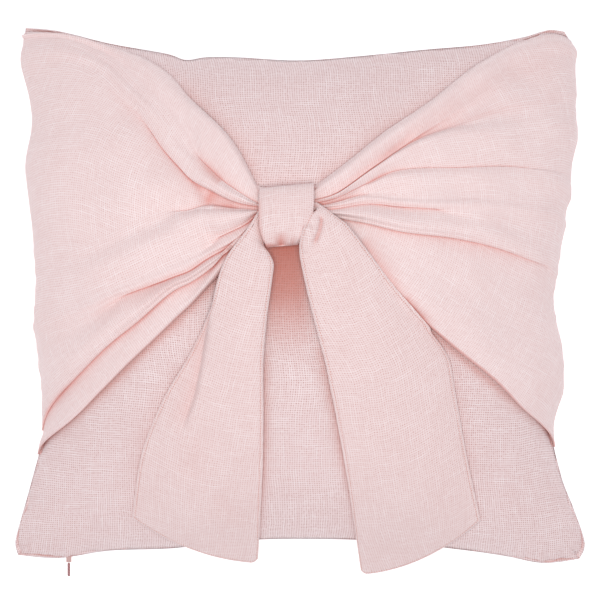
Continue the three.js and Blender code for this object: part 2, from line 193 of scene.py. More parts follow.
# %% Linen
def linen(name, light, dark, slub_tone, gap, painted_fold_shade, grid_strength, slubs):
    """A slub linen in five tones: its yarns, thin ones, slubs, the gaps between and the painted shade of
    folds.
    """
    light, dark, slub_tone, gap, painted_fold_shade = [(*linear(code), 1) for code in (light, dark, slub_tone, gap, painted_fold_shade)]
    material = bpy.data.materials.new(name)
    material.use_nodes = True
    tree = material.node_tree
    shader = tree.nodes["Principled BSDF"]
    uv = add(tree, "UVMap", uv_map="flat_cloth")

    wide = (WAVERS_PER_METRE, WAVERS_PER_METRE, 0)
    slow = add(tree, "VectorMath", {0: uv, 1: wide}, operation="MULTIPLY")
    waver = add(tree, "TexNoise", {"Vector": slow, **SOFT_NOISE})
    aside = add(tree, "Math", {0: waver, 1: WAVER_YARNS}, operation="MULTIPLY")
    back_aside = add(tree, "Math", {0: aside, 1: -1.0}, operation="MULTIPLY")
    shift = add(tree, "CombineXYZ", {0: aside, 1: back_aside})
    per_metre = (1 / YARN_PITCH, 1 / YARN_PITCH, 0)
    counted = add(tree, "VectorMath", {0: uv, 1: per_metre}, operation="MULTIPLY")
    bent = add(tree, "VectorMath", {0: counted, 1: shift}, operation="ADD")
    whole = add(tree, "VectorMath", {0: bent}, operation="FLOOR")
    number = add(tree, "SeparateXYZ", {0: whole})
    place = add(tree, "SeparateXYZ", {0: bent})
    warp, weft = [yarns(tree, place, number, axis) for axis in (0, 1)]

    bare = [add(tree, "Math", {0: 1.0, 1: body}, operation="SUBTRACT") for _, body in (warp, weft)]
    crossing = add(tree, "Math", {0: bare[0], 1: bare[1]}, operation="MULTIPLY")
    near = add(tree, "VectorMath", {0: bent, 1: (0.9, 0.9, 0)}, operation="MULTIPLY")
    spotty = add(tree, "TexNoise", {"Vector": near, **SOFT_NOISE})
    opened = add(tree, "MapRange", {"Value": spotty, "From Min": 0.3, "From Max": 0.7, "To Min": 0.45,
                                    "To Max": 1.4})
    gaps = add(tree, "Math", {0: crossing, 1: opened}, operation="MULTIPLY")

    far = add(tree, "VectorMath", {0: uv, 1: (CLOUDS_PER_METRE, CLOUDS_PER_METRE, 0)}, operation="MULTIPLY")
    cloudy = add(tree, "TexNoise", {"Vector": far, "Scale": 1.0, "Detail": 2.0, "Roughness": 0.6})
    clouds = add(tree, "MapRange", {"Value": cloudy, "From Min": 0.35, "From Max": 0.7, "To Min": 0.0,
                                    "To Max": CLOUD_STRENGTH})
    base = add(tree, "Mix", {0: clouds, 6: light, 7: dark}, data_type="RGBA").outputs[2]
    for tone, body in (warp, weft):
        for low, high, colour in ((0.53, 0.74, slub_tone), (0.48, 0.25, dark)):
            much = add(tree, "MapRange", {"Value": tone, "From Min": low, "From Max": high, "To Min": 0.0,
                                          "To Max": slubs})
            much = add(tree, "Math", {0: body, 1: much}, operation="MULTIPLY")
            base = add(tree, "Mix", {0: much, 6: base, 7: colour}, data_type="RGBA").outputs[2]
    holes = add(tree, "Math", {0: gaps, 1: grid_strength}, operation="MULTIPLY")
    base = add(tree, "Mix", {0: holes, 6: base, 7: gap}, data_type="RGBA").outputs[2]

    # Painted shade: narrow folds found by ambient occlusion, and the shade attribute, turn the base colour
    # salmon.
    hidden = add(tree, "AmbientOcclusion", {"Distance": FOLD_REACH}, samples=4).outputs["AO"]
    depth = add(tree, "MapRange", {"Value": hidden, "From Min": FOLD_OPEN, "From Max": 0.0})
    depth = add(tree, "Math", {0: depth, 1: 2.0}, operation="POWER")
    base = add(tree, "Mix", {0: depth, 6: base, 7: painted_fold_shade}, data_type="RGBA").outputs[2]
    shade = add(tree, "Attribute", attribute_name="shade").outputs["Fac"]
    base = add(tree, "Mix", {0: shade, 6: base, 7: painted_fold_shade}, data_type="RGBA").outputs[2]

    both = add(tree, "Math", {0: warp[0], 1: weft[0]}, operation="ADD")
    swollen = add(tree, "Math", {0: both, 1: SLUB_HEIGHT}, operation="MULTIPLY")
    relief = add(tree, "Math", {0: gaps, 1: -GAP_DEPTH, 2: swollen}, operation="MULTIPLY_ADD")
    bump = add(tree, "Bump", {"Strength": 0.5, "Distance": RELIEF, "Height": relief})
    tree.links.new(base, shader.inputs["Base Color"])
    tree.links.new(bump.outputs[0], shader.inputs["Normal"])
    shader.inputs["Roughness"].default_value = 0.92
    shader.inputs["Specular IOR Level"].default_value = 0.25
    shader.inputs["Sheen Weight"].default_value = 0.22
    shader.inputs["Sheen Roughness"].default_value = 0.5
    return material


# The cover is woven more openly than the bow, and its tones are a little darker than the bow's: painted
# shade. The tails and the knot band get a darker copy of the bow's linen, also painted shade.
cover_linen = linen("slub_linen_cover", "F0DBD9", "E3C5C2", "FBEFEE", "C08C85", "C86F5C", 0.85, 0.48)
bow_linen = linen("slub_linen_bow", "F4DEDB", "EBCFCB", "FDF0EE", "D8A59D", "D9705A", 0.6, 0.48)
shaded_tail_linen = linen("slub_linen_tails_shaded", "EED7D4", "E5C8C4", "F8E9E7", "D09D95", "D2705C", 0.68, 0.48)
print("linens:", cover_linen.name, bow_linen.name, shaded_tail_linen.name)

# %% [markdown]
# ## Helpers for cloth
# Each piece of cloth is two grids of points: its outer side and its lining, which meet at the edges.
# The grids come from Blender's own grid operator, and every vertex is then moved to its place, which
# numpy works out for all of them at once. Merging the doubles closes the edges.

# %% A closed piece of cloth from two grids of points
def cloth(name, skin, lining, flat, shade, material, inner=0.1):
    """Makes a closed mesh from points in mm, with metres of flat cloth as its UV map.

    flat holds, for each cell, the flat place of its near and far columns. shade is the painted shade of
    the outer side, and inner is the painted shade of the lining.
    """
    rows, columns = skin.shape[:2]
    bm = bmesh.new()
    bmesh.ops.create_grid(bm, x_segments=columns - 1, y_segments=rows - 1, size=0.5)
    bmesh.ops.translate(bm, vec=(0.5, 0.5, 1), verts=bm.verts)
    double = bmesh.ops.duplicate(bm, geom=bm.verts[:] + bm.edges[:] + bm.faces[:])["geom"]
    twins = [part for part in double if isinstance(part, bmesh.types.BMVert)]
    bmesh.ops.translate(bm, vec=(0, 0, -2), verts=twins)
    mesh = bpy.data.meshes.new(name)
    bm.to_mesh(mesh)
    bm.free()

    place = np.empty(len(mesh.vertices) * 3)
    mesh.vertices.foreach_get("co", place)
    place = place.reshape(-1, 3)
    row = np.rint(place[:, 1] * (rows - 1)).astype(int)
    column = np.rint(place[:, 0] * (columns - 1)).astype(int)
    outer = place[:, 2] > 0
    moved = np.where(outer[:, None], skin[row, column], lining[row, column]) * MM
    mesh.vertices.foreach_set("co", moved.ravel())

    corner = np.empty(len(mesh.loops), int)
    mesh.loops.foreach_get("vertex_index", corner)
    corner = corner.reshape(-1, 4)
    cell = column[corner].min(axis=1)[:, None]
    uv = flat[row[corner], cell, column[corner] - cell] * MM
    mesh.uv_layers.new(name="flat_cloth").data.foreach_set("uv", uv.ravel())
    layer = mesh.attributes.new("shade", "FLOAT", "POINT")
    rim = (row == 0) | (row == rows - 1) | (column == 0) | (column == columns - 1)
    layer.data.foreach_set("value", np.where(outer | rim, shade[row, column], inner))

    bm = bmesh.new()
    bm.from_mesh(mesh)
    bmesh.ops.remove_doubles(bm, verts=bm.verts, dist=1e-7)
    bmesh.ops.recalc_face_normals(bm, faces=bm.faces)
    bm.to_mesh(mesh)
    bm.free()
    mesh.polygons.foreach_set("use_smooth", [True] * len(mesh.polygons))
    mesh.materials.append(material)
    piece = bpy.data.objects.new(name, mesh)
    bpy.context.scene.collection.objects.link(piece)
    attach(piece, "root")
    print(name, "has", len(mesh.polygons), "faces")
    return piece


print("cloth() is ready")

# %% [markdown]
# ## The filled cushion
# A cushion is two flat panels sewn round their edges. The filling pushes the panels apart, and the
# sides are drawn in between the corners. A flat square is mapped onto the seam line, and a crown lifts
# it: steep at the seam, nearly flat in the middle. The back is pressed flat where it lies.
# The sizes are those of the CAD model. The seam itself is a small valley between the two panels, and
# the cloth puckers along it. Cloth simulation could make such a cushion too, but its folds would not
# fall where the photo has them, so the shape is worked out directly.

# %% Curves and lengths
def smooth(low, high, x):
    t = np.clip((x - low) / (high - low), 0, 1)
    return t * t * (3 - 2 * t)


def mix(a, b, t):
    return a + (b - a) * t


def curve(points, where):
    """The smooth curve through points, at shares of its way from 0 to 1."""
    points = np.asarray(points, float)
    last = len(points) - 1
    place = np.clip(where, 0, 1) * last
    i = np.minimum(place.astype(int), last - 1)
    w = (place - i)[..., None]
    p0, p1, p2, p3 = (points[np.clip(i + k, 0, last)] for k in (-1, 0, 1, 2))
    a, b = (p2 - p0) / 2, (p3 - p1) / 2
    return (2 * p1 - 2 * p2 + a + b) * w**3 + (3 * p2 - 3 * p1 - 2 * a - b) * w**2 + a * w + p1


def lengths(points, axis):
    """Length along the grid from its first row or column, at each of its points."""
    steps = np.linalg.norm(np.diff(points, axis=axis), axis=-1)
    start = np.zeros_like(np.take(steps, [0], axis=axis))
    return np.concatenate([start, np.cumsum(steps, axis=axis)], axis=axis)


print("half way along a bent curve:", curve([(0, 0), (4, 1), (8, 0)], np.array(0.5)))

# %% The seam line and the panels
CORNERS = {"top_left": (-217, 209), "top_right": (209, 206), "bottom_left": (-223, -208),
           "bottom_right": (221, -211)}
SIDES = {
    "left": [(-223, -208), (-225, -197), (-220, -178), (-212, -150), (-202, -110), (-201, -74), (-207, -36),
             (-206, 8), (-210, 52), (-213, 96), (-209, 138), (-219, 176), (-217, 209)],
    "right": [(221, -211), (225, -198), (216, -171), (206, -145), (198, -105), (205, -68), (199, -20),
              (198, 4), (205, 40), (212, 80), (216, 125), (217, 168), (216, 192), (209, 206)],
    "bottom": [(-223, -208), (-190, -210), (-150, -204), (-100, -202), (-30, -195), (60, -196), (125, -203),
               (160, -208), (192, -214), (221, -211)],
    "top": [(-217, 209), (-190, 206), (-150, 196), (-106, 188), (-90, 183), (-74, 185), (-50, 185),
            (-2, 182.5), (43, 185.5), (98, 191), (142, 195), (175, 201), (196, 207), (209, 206)],
}
print("seam line:", sum(len(points) for points in SIDES.values()), "points, in mm")

# %% The two panels
SEAM_HEIGHT, CORNER_SAG = 56, 14
FRONT_RISE, BACK_DROP, FULLNESS, FLOOR_BLEND = 82, 75, 0.55, 7
HOLLOW = {"x": -10, "y": 52, "depth": 10, "radius": 70}


def even_curve(points):
    """A side of the seam, read by the share of its length."""
    fine = curve(points, np.linspace(0, 1, 801))
    share = lengths(fine[None], 1)[0]
    share /= share[-1]
    return lambda at: np.stack([np.interp(at, share, fine[:, k]) for k in (0, 1)], -1)


side = {name: even_curve(points) for name, points in SIDES.items()}


def plan(u, v):
    """The place of a point of the flat panel, u and v from -1 to 1, seen from above."""
    a, b = (u + 1) / 2, (v + 1) / 2
    ruled = mix(side["left"](b), side["right"](b), a[..., None])
    ruled = ruled + mix(side["bottom"](a), side["top"](a), b[..., None])
    low = mix(np.array(CORNERS["bottom_left"]), np.array(CORNERS["bottom_right"]), a[..., None])
    high = mix(np.array(CORNERS["top_left"]), np.array(CORNERS["top_right"]), a[..., None])
    return ruled - mix(low, high, b[..., None])


def panel_at(x, y):
    """The panel's u and v below a point seen from above."""
    half = (212, 203)
    u, v = np.clip(x / half[0], -1, 1), np.clip(y / half[1], -1, 1)
    for _ in range(14):
        here = plan(u, v)
        u = np.clip(u + (x - here[..., 0]) / half[0], -1, 1)
        v = np.clip(v + (y - here[..., 1]) / half[1], -1, 1)
    return u, v


def crown(u, v):
    return np.maximum(0, (1 - u * u) * (1 - v * v)) ** FULLNESS


def seam_height(u, v):
    return SEAM_HEIGHT - CORNER_SAG * np.abs(u * v) ** 3


def face(u, v):
    """A point of the front panel, in mm."""
    here = plan(u, v)
    away = ((here[..., 0] - HOLLOW["x"]) ** 2 + (here[..., 1] - HOLLOW["y"]) ** 2) / HOLLOW["radius"] ** 2
    z = seam_height(u, v) + crown(u, v) * (FRONT_RISE - HOLLOW["depth"] * np.exp(-away))
    return np.concatenate([here, z[..., None]], -1)


def back(u, v):
    """A point of the back panel, in mm."""
    here = plan(u, v)
    fall = crown(u, v)
    free = seam_height(u, v) - BACK_DROP * fall
    lifted = np.where(free > 0, free * free / (np.abs(free) + FLOOR_BLEND), 0)
    z = mix(seam_height(u, v), lifted, smooth(0, 0.2, fall))
    return np.concatenate([here, z[..., None]], -1)


def out_of(u, v, panel=face):
    """The panel's outward direction, from steps of angle so that it stays true up to the seam."""
    limit, step = np.sin(1.5), 0.012
    a, b = np.arcsin(np.clip(u, -limit, limit)), np.arcsin(np.clip(v, -limit, limit))
    way = panel(np.sin(a + step), np.sin(b)) - panel(np.sin(a - step), np.sin(b))
    up = panel(np.sin(a), np.sin(b + step)) - panel(np.sin(a), np.sin(b - step))
    out = np.cross(way, up)
    return out / np.linalg.norm(out, axis=-1, keepdims=True)


print("the seam's bottom side starts at", side["bottom"](np.array(0.0)).round(1))

# %% Soft noise
def ripples(x, y, size, seed):
    """Soft uneven waves between about -1 and 1, with crests about size apart."""
    chance = np.random.default_rng(seed)
    total = np.zeros(np.broadcast(x, y).shape)
    for _ in range(7):
        angle, phase = chance.uniform(0, np.pi), chance.uniform(0, 2 * np.pi)
        pitch = chance.uniform(0.7, 1.6)
        total = total + np.sin((x * np.cos(angle) + y * np.sin(angle)) * 2 * np.pi / (size * pitch) + phase)
    return total / 3.2


print("uneven waves:", ripples(np.arange(4) * 20, np.zeros(4), 60, 1).round(2))

# %% [markdown]
# ## Seam valley, puckers and dents
# A seam pulls its two panels in, so it lies in a small valley, and the cloth puckers into short folds
# beside it. Farther in, the filling leaves soft dents. All three move the panel along its own outward
# direction. Under the knot the cover lies in the shade of the bow, and that shade is painted into its
# colour through the shade attribute.

# %% The cushion piece
CUSHION_CELLS = 280
VALLEY = dict(depth=0.6, at=3.5, width=2)
PUCKER_HEIGHT, PUCKER_REACH = 1.1, 17
DENT_DEPTH, DENT_SIZE = 0.9, 85
# Painted shade under the knot: its middle across, its width, and how strong it is down the face.
PIT_SHADE_X, PIT_SHADE_WIDTH = -12, 21
PIT_SHADE_DOWN = (-60, -45, -22, 0, 40, 60), (0, 0.09, 0.36, 0.7, 0.86, 0)
angles = np.linspace(-np.pi / 2, np.pi / 2, CUSHION_CELLS + 1)
cushion_u, cushion_v = np.meshgrid(np.sin(angles), np.sin(angles))


def seam_distance(u, v):
    """About how far a point is from the seam, in mm over the cloth."""
    across = np.minimum(1 - np.abs(u), 1 - np.abs(v))
    return 62 * np.arccos(np.clip(1 - across, -1, 1))


def puckers(u, v, seed):
    """Short folds that run in from the seam, uneven along it."""
    here = plan(u, v)
    place = np.where(np.abs(u) > np.abs(v), here[..., 1], here[..., 0])
    depth = ripples(place, place * 0.31, 21, seed) + 0.6 * ripples(place, place * 0.17, 9, seed + 1)
    near = seam_distance(u, v)
    return depth * np.exp(-near / PUCKER_REACH) * smooth(0, 5, near)


def cushion_side(panel, seed):
    """A panel with the seam's valley, its puckers and its soft dents."""
    shape = panel(cushion_u, cushion_v)
    out = out_of(cushion_u, cushion_v, panel)
    if panel is back:
        out = -out
    near = seam_distance(cushion_u, cushion_v)
    valley = -VALLEY["depth"] * np.exp(-((near - VALLEY["at"]) / VALLEY["width"]) ** 2)
    from_knot = np.hypot(shape[..., 0] - HOLLOW["x"], shape[..., 1] - HOLLOW["y"])
    dents = DENT_DEPTH * (ripples(shape[..., 0], shape[..., 1], DENT_SIZE, seed + 5) - 1.2)
    dents = dents * smooth(0, 60, near) * smooth(35, 80, from_knot)
    pulled = puckers(cushion_u, cushion_v, seed) - 0.6 * np.exp(-near / PUCKER_REACH)
    rise = valley + PUCKER_HEIGHT * pulled + dents
    if panel is back:
        rise = rise * smooth(0.5, 12, shape[..., 2])
    moved = shape + out * rise[..., None]
    rim = near <= 0
    moved[rim] = (shape + 0.5 * (shape - [0, 0, SEAM_HEIGHT]) / 215)[rim]
    return moved


front_side = cushion_side(face, 11)
back_side = cushion_side(back, 23)
x, y = front_side[..., 0], front_side[..., 1]
# The painted shade under the knot, for the shade attribute.
pit_shade = np.exp(-((x - PIT_SHADE_X) / PIT_SHADE_WIDTH) ** 4) * np.interp(y, *PIT_SHADE_DOWN)
plain_face = face(cushion_u, cushion_v)
half = CUSHION_CELLS // 2
flat_x, flat_y = lengths(plain_face, 1), lengths(plain_face, 0)
cushion_flat = np.stack([flat_x - flat_x[:, half:half + 1], flat_y - flat_y[half:half + 1]], -1)
cushion_cells = np.stack([cushion_flat[:, :-1], cushion_flat[:, 1:]], 2)
cushion = cloth("cushion_cover", front_side, back_side, cushion_cells, pit_shade, cover_linen, 0)
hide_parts("cushion")

# %% [markdown]
# ## The bow's wings
# Each wing is a double cloth, sewn into the side seam at its full width and gathered into the knot. So
# its folds fan out from the knot. The tables name the lines of the creases, each by seven points from
# the knot to the seam. Between two lines lies a roll of cloth. At a crease one roll overlaps the next:
# the cloth turns round in a small bend and runs back below itself before the next roll comes out. The
# grid of the mesh follows these lines and has extra columns for the bends, so the folds stay crisp.

# %% The creases of the left wing
# points: mm as seen from above. step: how high the roll above the line stands over the next one there,
# and less than 0 where the next roll is the upper one. lift: height of the crease's floor.
# swell: how far the roll after the line bulges. Each is a list of (share of the way, mm).
# shade: how deep the painted shade is below the line, over reach mm. cells: columns of the roll after the
# line.
# wall, on the last line: painted shade down the hem's wall.
# The first line's height comes with EDGE_STEP later, and only the sign of its step counts.
LEFT_WING = [
    dict(points=[(-33, 82), (-46, 107), (-68, 134), (-96, 162), (-130, 185), (-172, 198), (-216, 205)],
         step=[(0, -1)], lift=[(0, 0)], swell=[(0, 4), (0.3, 8), (0.6, 7), (1, 2.5)], cells=24),
    dict(points=[(-33, 67.3), (-46.5, 75.6), (-64.5, 89), (-85, 112), (-119, 152), (-164, 187), (-218, 198)],
         step=[(0, -3), (0.33, -3.5), (0.55, 0)], lift=[(0, 0), (0.35, 0.5), (0.6, 5), (0.8, 4), (1, 1)],
         swell=[(0, 1.5), (0.3, 2.5), (0.6, 2.5), (1, 1)], shade=[(0.1, 0), (0.3, 0.1), (0.5, 0)], cells=18),
    dict(points=[(-33, 64.4), (-55, 69.8), (-81, 83.5), (-107, 111), (-137, 147), (-172, 172), (-220, 164)],
         step=[(0, 3), (0.12, 4), (0.2, 8), (0.3, 8.5), (0.4, 3.5), (0.55, 1.8), (0.72, 0)],
         lift=[(0, 0), (0.12, -0.5), (0.2, -2.2), (0.3, -2.2), (0.4, 0), (0.5, 0), (0.75, 4), (1, 1)],
         swell=[(0, 0), (0.2, -0.5), (0.29, -0.5), (0.36, 3), (0.5, 6), (0.8, 6), (1, 2)],
         shade=[(0.15, 0), (0.25, 0.12), (0.4, 0.12), (0.55, 0.1), (0.8, 0)], reach=13, cells=34),
    dict(points=[(-33, 62), (-52, 63.6), (-76, 65.2), (-107.5, 58.5), (-144, 43), (-177, 29), (-209, 24)],
         step=[(0, -3), (0.12, -4), (0.2, -7), (0.3, -7.5), (0.38, -2.5), (0.55, 0)],
         lift=[(0, 0), (0.12, -0.5), (0.2, -2.2), (0.3, -2.2), (0.38, 1.5), (0.5, 3.5), (0.8, 4.5), (1, 1)],
         swell=[(0, 2), (0.15, 5), (0.3, 7), (0.6, 5), (1, 1)], cells=26),
    dict(points=[(-33, 58.8), (-44, 50), (-67, 39), (-87, 27), (-126, 9), (-166, -4), (-209, -16)],
         step=[(0, 2), (0.1, 2.5), (0.27, 2), (0.38, 0)],
         lift=[(0, 0), (0.28, 1), (0.45, 6), (0.75, 5), (1, 1)],
         swell=[(0, 1.5), (0.2, 3), (0.4, 2), (1, 1)], cells=18),
    dict(points=[(-33, 56), (-50, 37), (-71, 24.5), (-99, 10), (-135, -3), (-173, -24), (-209, -46)],
         step=[(0, 2), (0.2, 3.5), (0.4, 5), (0.52, 4), (0.63, 2), (0.76, 0)],
         lift=[(0, 0), (0.55, 0), (0.85, 3), (1, 1)],
         swell=[(0, 1.5), (0.25, 2.5), (0.5, 4), (0.8, 5), (1, 2)],
         shade=[(0.2, 0), (0.4, 0.08), (0.55, 0.22), (0.66, 0.16), (0.85, 0)], reach=10, cells=26),
    dict(points=[(-33, 52), (-56, 31), (-70, 16), (-97, 0), (-134, -31), (-175, -69), (-202, -110)],
         step=[(0, 2), (0.15, 4), (0.5, 5.5), (0.85, 5), (1, 2)], lift=[(0, 0)],
         swell=[(0, 1), (0.5, 2), (1, 0.5)],
         shade=[(0.2, 0), (0.5, 0.1), (0.8, 0.2), (0.95, 0.3), (1, 0.2)], reach=7, cells=20),
    dict(points=[(-33, 47), (-62, 13), (-87, -13), (-118, -42), (-152, -75), (-183, -105), (-207, -129)],
         step=[(0, 2), (0.5, 1.4), (1, 1)], lift=[(0, 0)], swell=[(0, 0)],
         wall=[(0, 0.6), (0.3, 0.65), (0.6, 0.4), (0.9, 0.3), (1, 0.1)], cells=0),
]
print("left wing:", len(LEFT_WING), "lines")

# %% The creases of the right wing
RIGHT_WING = [
    dict(points=[(12, 82), (36, 100), (66, 124), (104, 150), (147, 182), (184, 199), (210, 198)],
         step=[(0, -1)], lift=[(0, 0)], swell=[(0, 4), (0.3, 7), (0.6, 6), (1, 1.5)], cells=24),
    dict(points=[(12, 71.5), (31, 77.5), (57, 96), (91, 120), (131, 148), (174, 172), (214, 175)],
         step=[(0, 0)], lift=[(0, 1), (0.33, 1.2), (0.45, 0), (0.52, 1.5), (0.75, 5), (1, 1)],
         swell=[(0, 0), (0.4, -0.4), (0.6, -1.5), (0.85, 0), (1, 0)],
         shade=[(0.3, 0), (0.5, 0.12), (0.8, 0.1), (1, 0)], reach=9, cells=12),
    dict(points=[(12, 69.5), (31, 76), (57, 94.7), (86, 114), (128, 130.5), (170, 142), (215, 150)],
         step=[(0, -1.5), (0.3, -2), (0.5, -3.6), (0.78, 0)], lift=[(0, 0), (0.55, 0), (0.85, 4), (1, 1)],
         swell=[(0, 3), (0.25, 5), (0.6, 6), (1, 2)],
         shade=[(0.2, 0), (0.45, 0.2), (0.6, 0.14), (1, 0)], cells=26),
    dict(points=[(12, 67.3), (30, 71.7), (52, 82.6), (77, 93), (120, 95.5), (171, 97), (207, 82)],
         step=[(0, -1.5), (0.3, -2), (0.45, -2), (0.8, -2), (1, -1)], lift=[(0, 0), (0.5, 1), (1, 0)],
         swell=[(0, 0), (0.28, -1), (0.4, 3), (0.6, 3), (1, 1)], cells=18),
    dict(points=[(12, 65.5), (28, 68.2), (49, 74), (70, 74), (100, 73), (150, 75), (206, 62)],
         step=[(0, -2), (0.25, -3), (0.4, -1), (0.6, 0)],
         lift=[(0, 0), (0.25, 0), (0.45, 3), (0.7, 4), (1, 1)],
         swell=[(0, 1.5), (0.3, 2), (0.6, 2), (1, 1)], cells=14),
    dict(points=[(12, 63), (28, 63), (53, 67.2), (80, 65), (121, 62), (162, 57), (205, 43)],
         step=[(0, 1.5), (0.15, 2.5), (0.3, 2), (0.5, 3), (0.75, 0)],
         lift=[(0, 0), (0.5, 0), (0.78, 4), (1, 1)],
         swell=[(0, 1.5), (0.2, 4), (0.6, 4), (1, 1)], cells=24),
    dict(points=[(12, 59.8), (30, 56), (52, 51.8), (82, 45), (120, 41), (158, 32), (201, 5)],
         step=[(0, 2), (0.2, 4.5), (0.5, 5), (0.8, 4), (1, 0)],
         lift=[(0, 0), (0.14, -2), (0.24, -2.5), (0.35, 0), (0.75, 0), (0.95, 3), (1, 1)],
         swell=[(0, 0), (0.2, 0), (0.3, 3), (0.6, 6), (1, 2)],
         shade=[(0.3, 0), (0.5, 0.06), (0.8, 0.16), (1, 0)], reach=8, cells=30),
    dict(points=[(12, 55), (37, 34), (63, 3), (97, -25), (134, -55.5), (172, -90), (200, -123)],
         step=[(0, 2), (0.4, 3), (0.7, 3), (1, 1)], lift=[(0, 0)], swell=[(0, 0)],
         wall=[(0, 0.6), (0.5, 0.75), (0.7, 0.6), (0.9, 0.35), (1, 0.1)], cells=0),
]
print("right wing:", len(RIGHT_WING), "lines")

# %% [markdown]
# ## From a table to a wing
# The rows of the mesh run from inside the knot to the side seam, and its columns run across the rolls.
# Each column knows its roll and its zone: the main part, a bend at a crease, or a wing's own edge. The
# height over the cushion's face follows from the zone, and the cloth gets its thickness last.

# %% Sizes of a wing
WING_THICK, SEWN_GAP, SEWN_SINK = 1.4, 0.4, -0.6
RISE = [(0, 7.1), (0.12, 6), (0.45, 2.6), (1, 0)]
WING_ROWS, KNOT_ROWS = 170, 8
LAST_ROWS = [1 - 0.004, 1 - 0.0018, 1 - 0.0006, 1]
BENDS = np.linspace(0, 1, 9)
EDGE_BENDS = np.array([0, 0.03, 0.09, 0.18, 0.3, 0.44, 0.6, 0.78, 1])
EDGE_STEP, EDGE_RISE, EDGE_ROUND, HEM_ROUND = -0.8, 0.3, 0.6, 0.6
NARROWEST, NARROW_BEND, WIDEST_SPREAD = 1.5, 0.28, 3.5
FOLDED = 0.6, 2.2
GATHER = dict(y=60, length=19, squeeze=0.78, flatten=0.75)
SHORT_REACH, LONG_REACH = 1.5, 6
FLAT_STEP = 31.7
print("wing:", WING_ROWS, "rows, cloth", WING_THICK, "mm thick")


# %% Read a table
def steps_along(pairs, t):
    """A value given as (share of the way, mm), read smoothly at t."""
    shares, values = np.array(pairs, float).T
    i = np.clip(np.searchsorted(shares, t, "right") - 1, 0, max(0, len(shares) - 2))
    if len(shares) == 1:
        return np.full_like(t, values[0])
    return mix(values[i], values[i + 1], smooth(0, 1, (t - shares[i]) / (shares[i + 1] - shares[i])))


def wing_line(points, outward, t):
    """A crease over the panel's angles, so that it rounds the side of the cushion evenly."""
    limit = np.pi / 2 - 0.01
    u, v = panel_at(*np.array(points, float).T)
    turns = np.stack([np.arcsin(u), np.arcsin(v)], -1)
    turns[-1, 0] = outward * limit
    return np.clip(curve(turns, t), -limit, limit)


print("a wing rises by", steps_along(RISE, np.array([0.0, 0.3, 1.0])).round(1), "mm towards the knot")


# %% The rolls and the mesh's columns
def roll_shape(q, sharp_start, sharp_end, peak):
    """How full a roll is at q: 0 at both of its lines, and bending sharply into a crease or softly."""
    r = np.where(q < peak, q / peak, (1 - q) / (1 - peak))
    sharp = np.where(q < peak, sharp_start, sharp_end)
    return mix(r * r * (3 - 2 * r), 1 - (1 - r) ** 2, sharp)


def wing_columns(table):
    """The mesh's columns: the roll of each, and whether it is in a bend at its start or end."""
    columns = []
    for k, line in enumerate(table[:-1]):
        first, final = k == 0, k == len(table) - 2
        if first:
            columns += [(k, "edge", bend) for bend in EDGE_BENDS[:-1]]
        elif min(line["step"], key=lambda pair: pair[1])[1] < 0:
            columns += [(k, "start", bend) for bend in BENDS[::-1][1:-1]]
        even = np.linspace(0, 1, line["cells"] + 1)
        columns += [(k, "main", q) for q in mix(even, (1 - np.cos(np.pi * even)) / 2, 0.6)]
        if final:
            columns += [(k, "hem", bend) for bend in EDGE_BENDS[::-1][1:]]
        elif max(table[k + 1]["step"], key=lambda pair: pair[1])[1] > 0:
            columns += [(k, "end", bend) for bend in BENDS[1:-1]]
    return columns


def over_rolls(lines, widths, k, across):
    """The place across mm past line k. Beyond a line it is read on the roll that lies there."""
    own = mix(lines[k], lines[k + 1], (across / widths[k])[:, None])
    if k > 0:
        before = mix(lines[k], lines[k - 1], (-across / widths[k - 1])[:, None])
        own = np.where(across[:, None] < 0, before, own)
    past = across - widths[k]
    if k + 2 < len(lines):
        beyond = mix(lines[k + 1], lines[k + 2], (past / widths[k + 1])[:, None])
        own = np.where(past[:, None] > 0, beyond, own)
    return own


print("columns:", len(wing_columns(LEFT_WING)), "left and", len(wing_columns(RIGHT_WING)), "right")

# %% The thickness of a cloth
def normals_of(grid):
    """The direction across a grid of points, up out of the cushion."""
    across = np.cross(np.gradient(grid, axis=1), np.gradient(grid, axis=0))
    return across / np.maximum(np.linalg.norm(across, axis=-1, keepdims=True), 1e-9)


def rounded(skin, normal, thickness, edge):
    """The two sides of a cloth whose edges are round: edge is each point's distance from them."""
    r = np.broadcast_to(thickness / 2, edge.shape)[..., None]
    full = np.sqrt(1 - (1 - np.clip(edge[..., None] / r, 0, 1)) ** 2)
    middle = skin - normal * r
    return middle + normal * r * full, middle - normal * r * full


print("the middle of the front panel faces", normals_of(plain_face)[half, half].round(2))


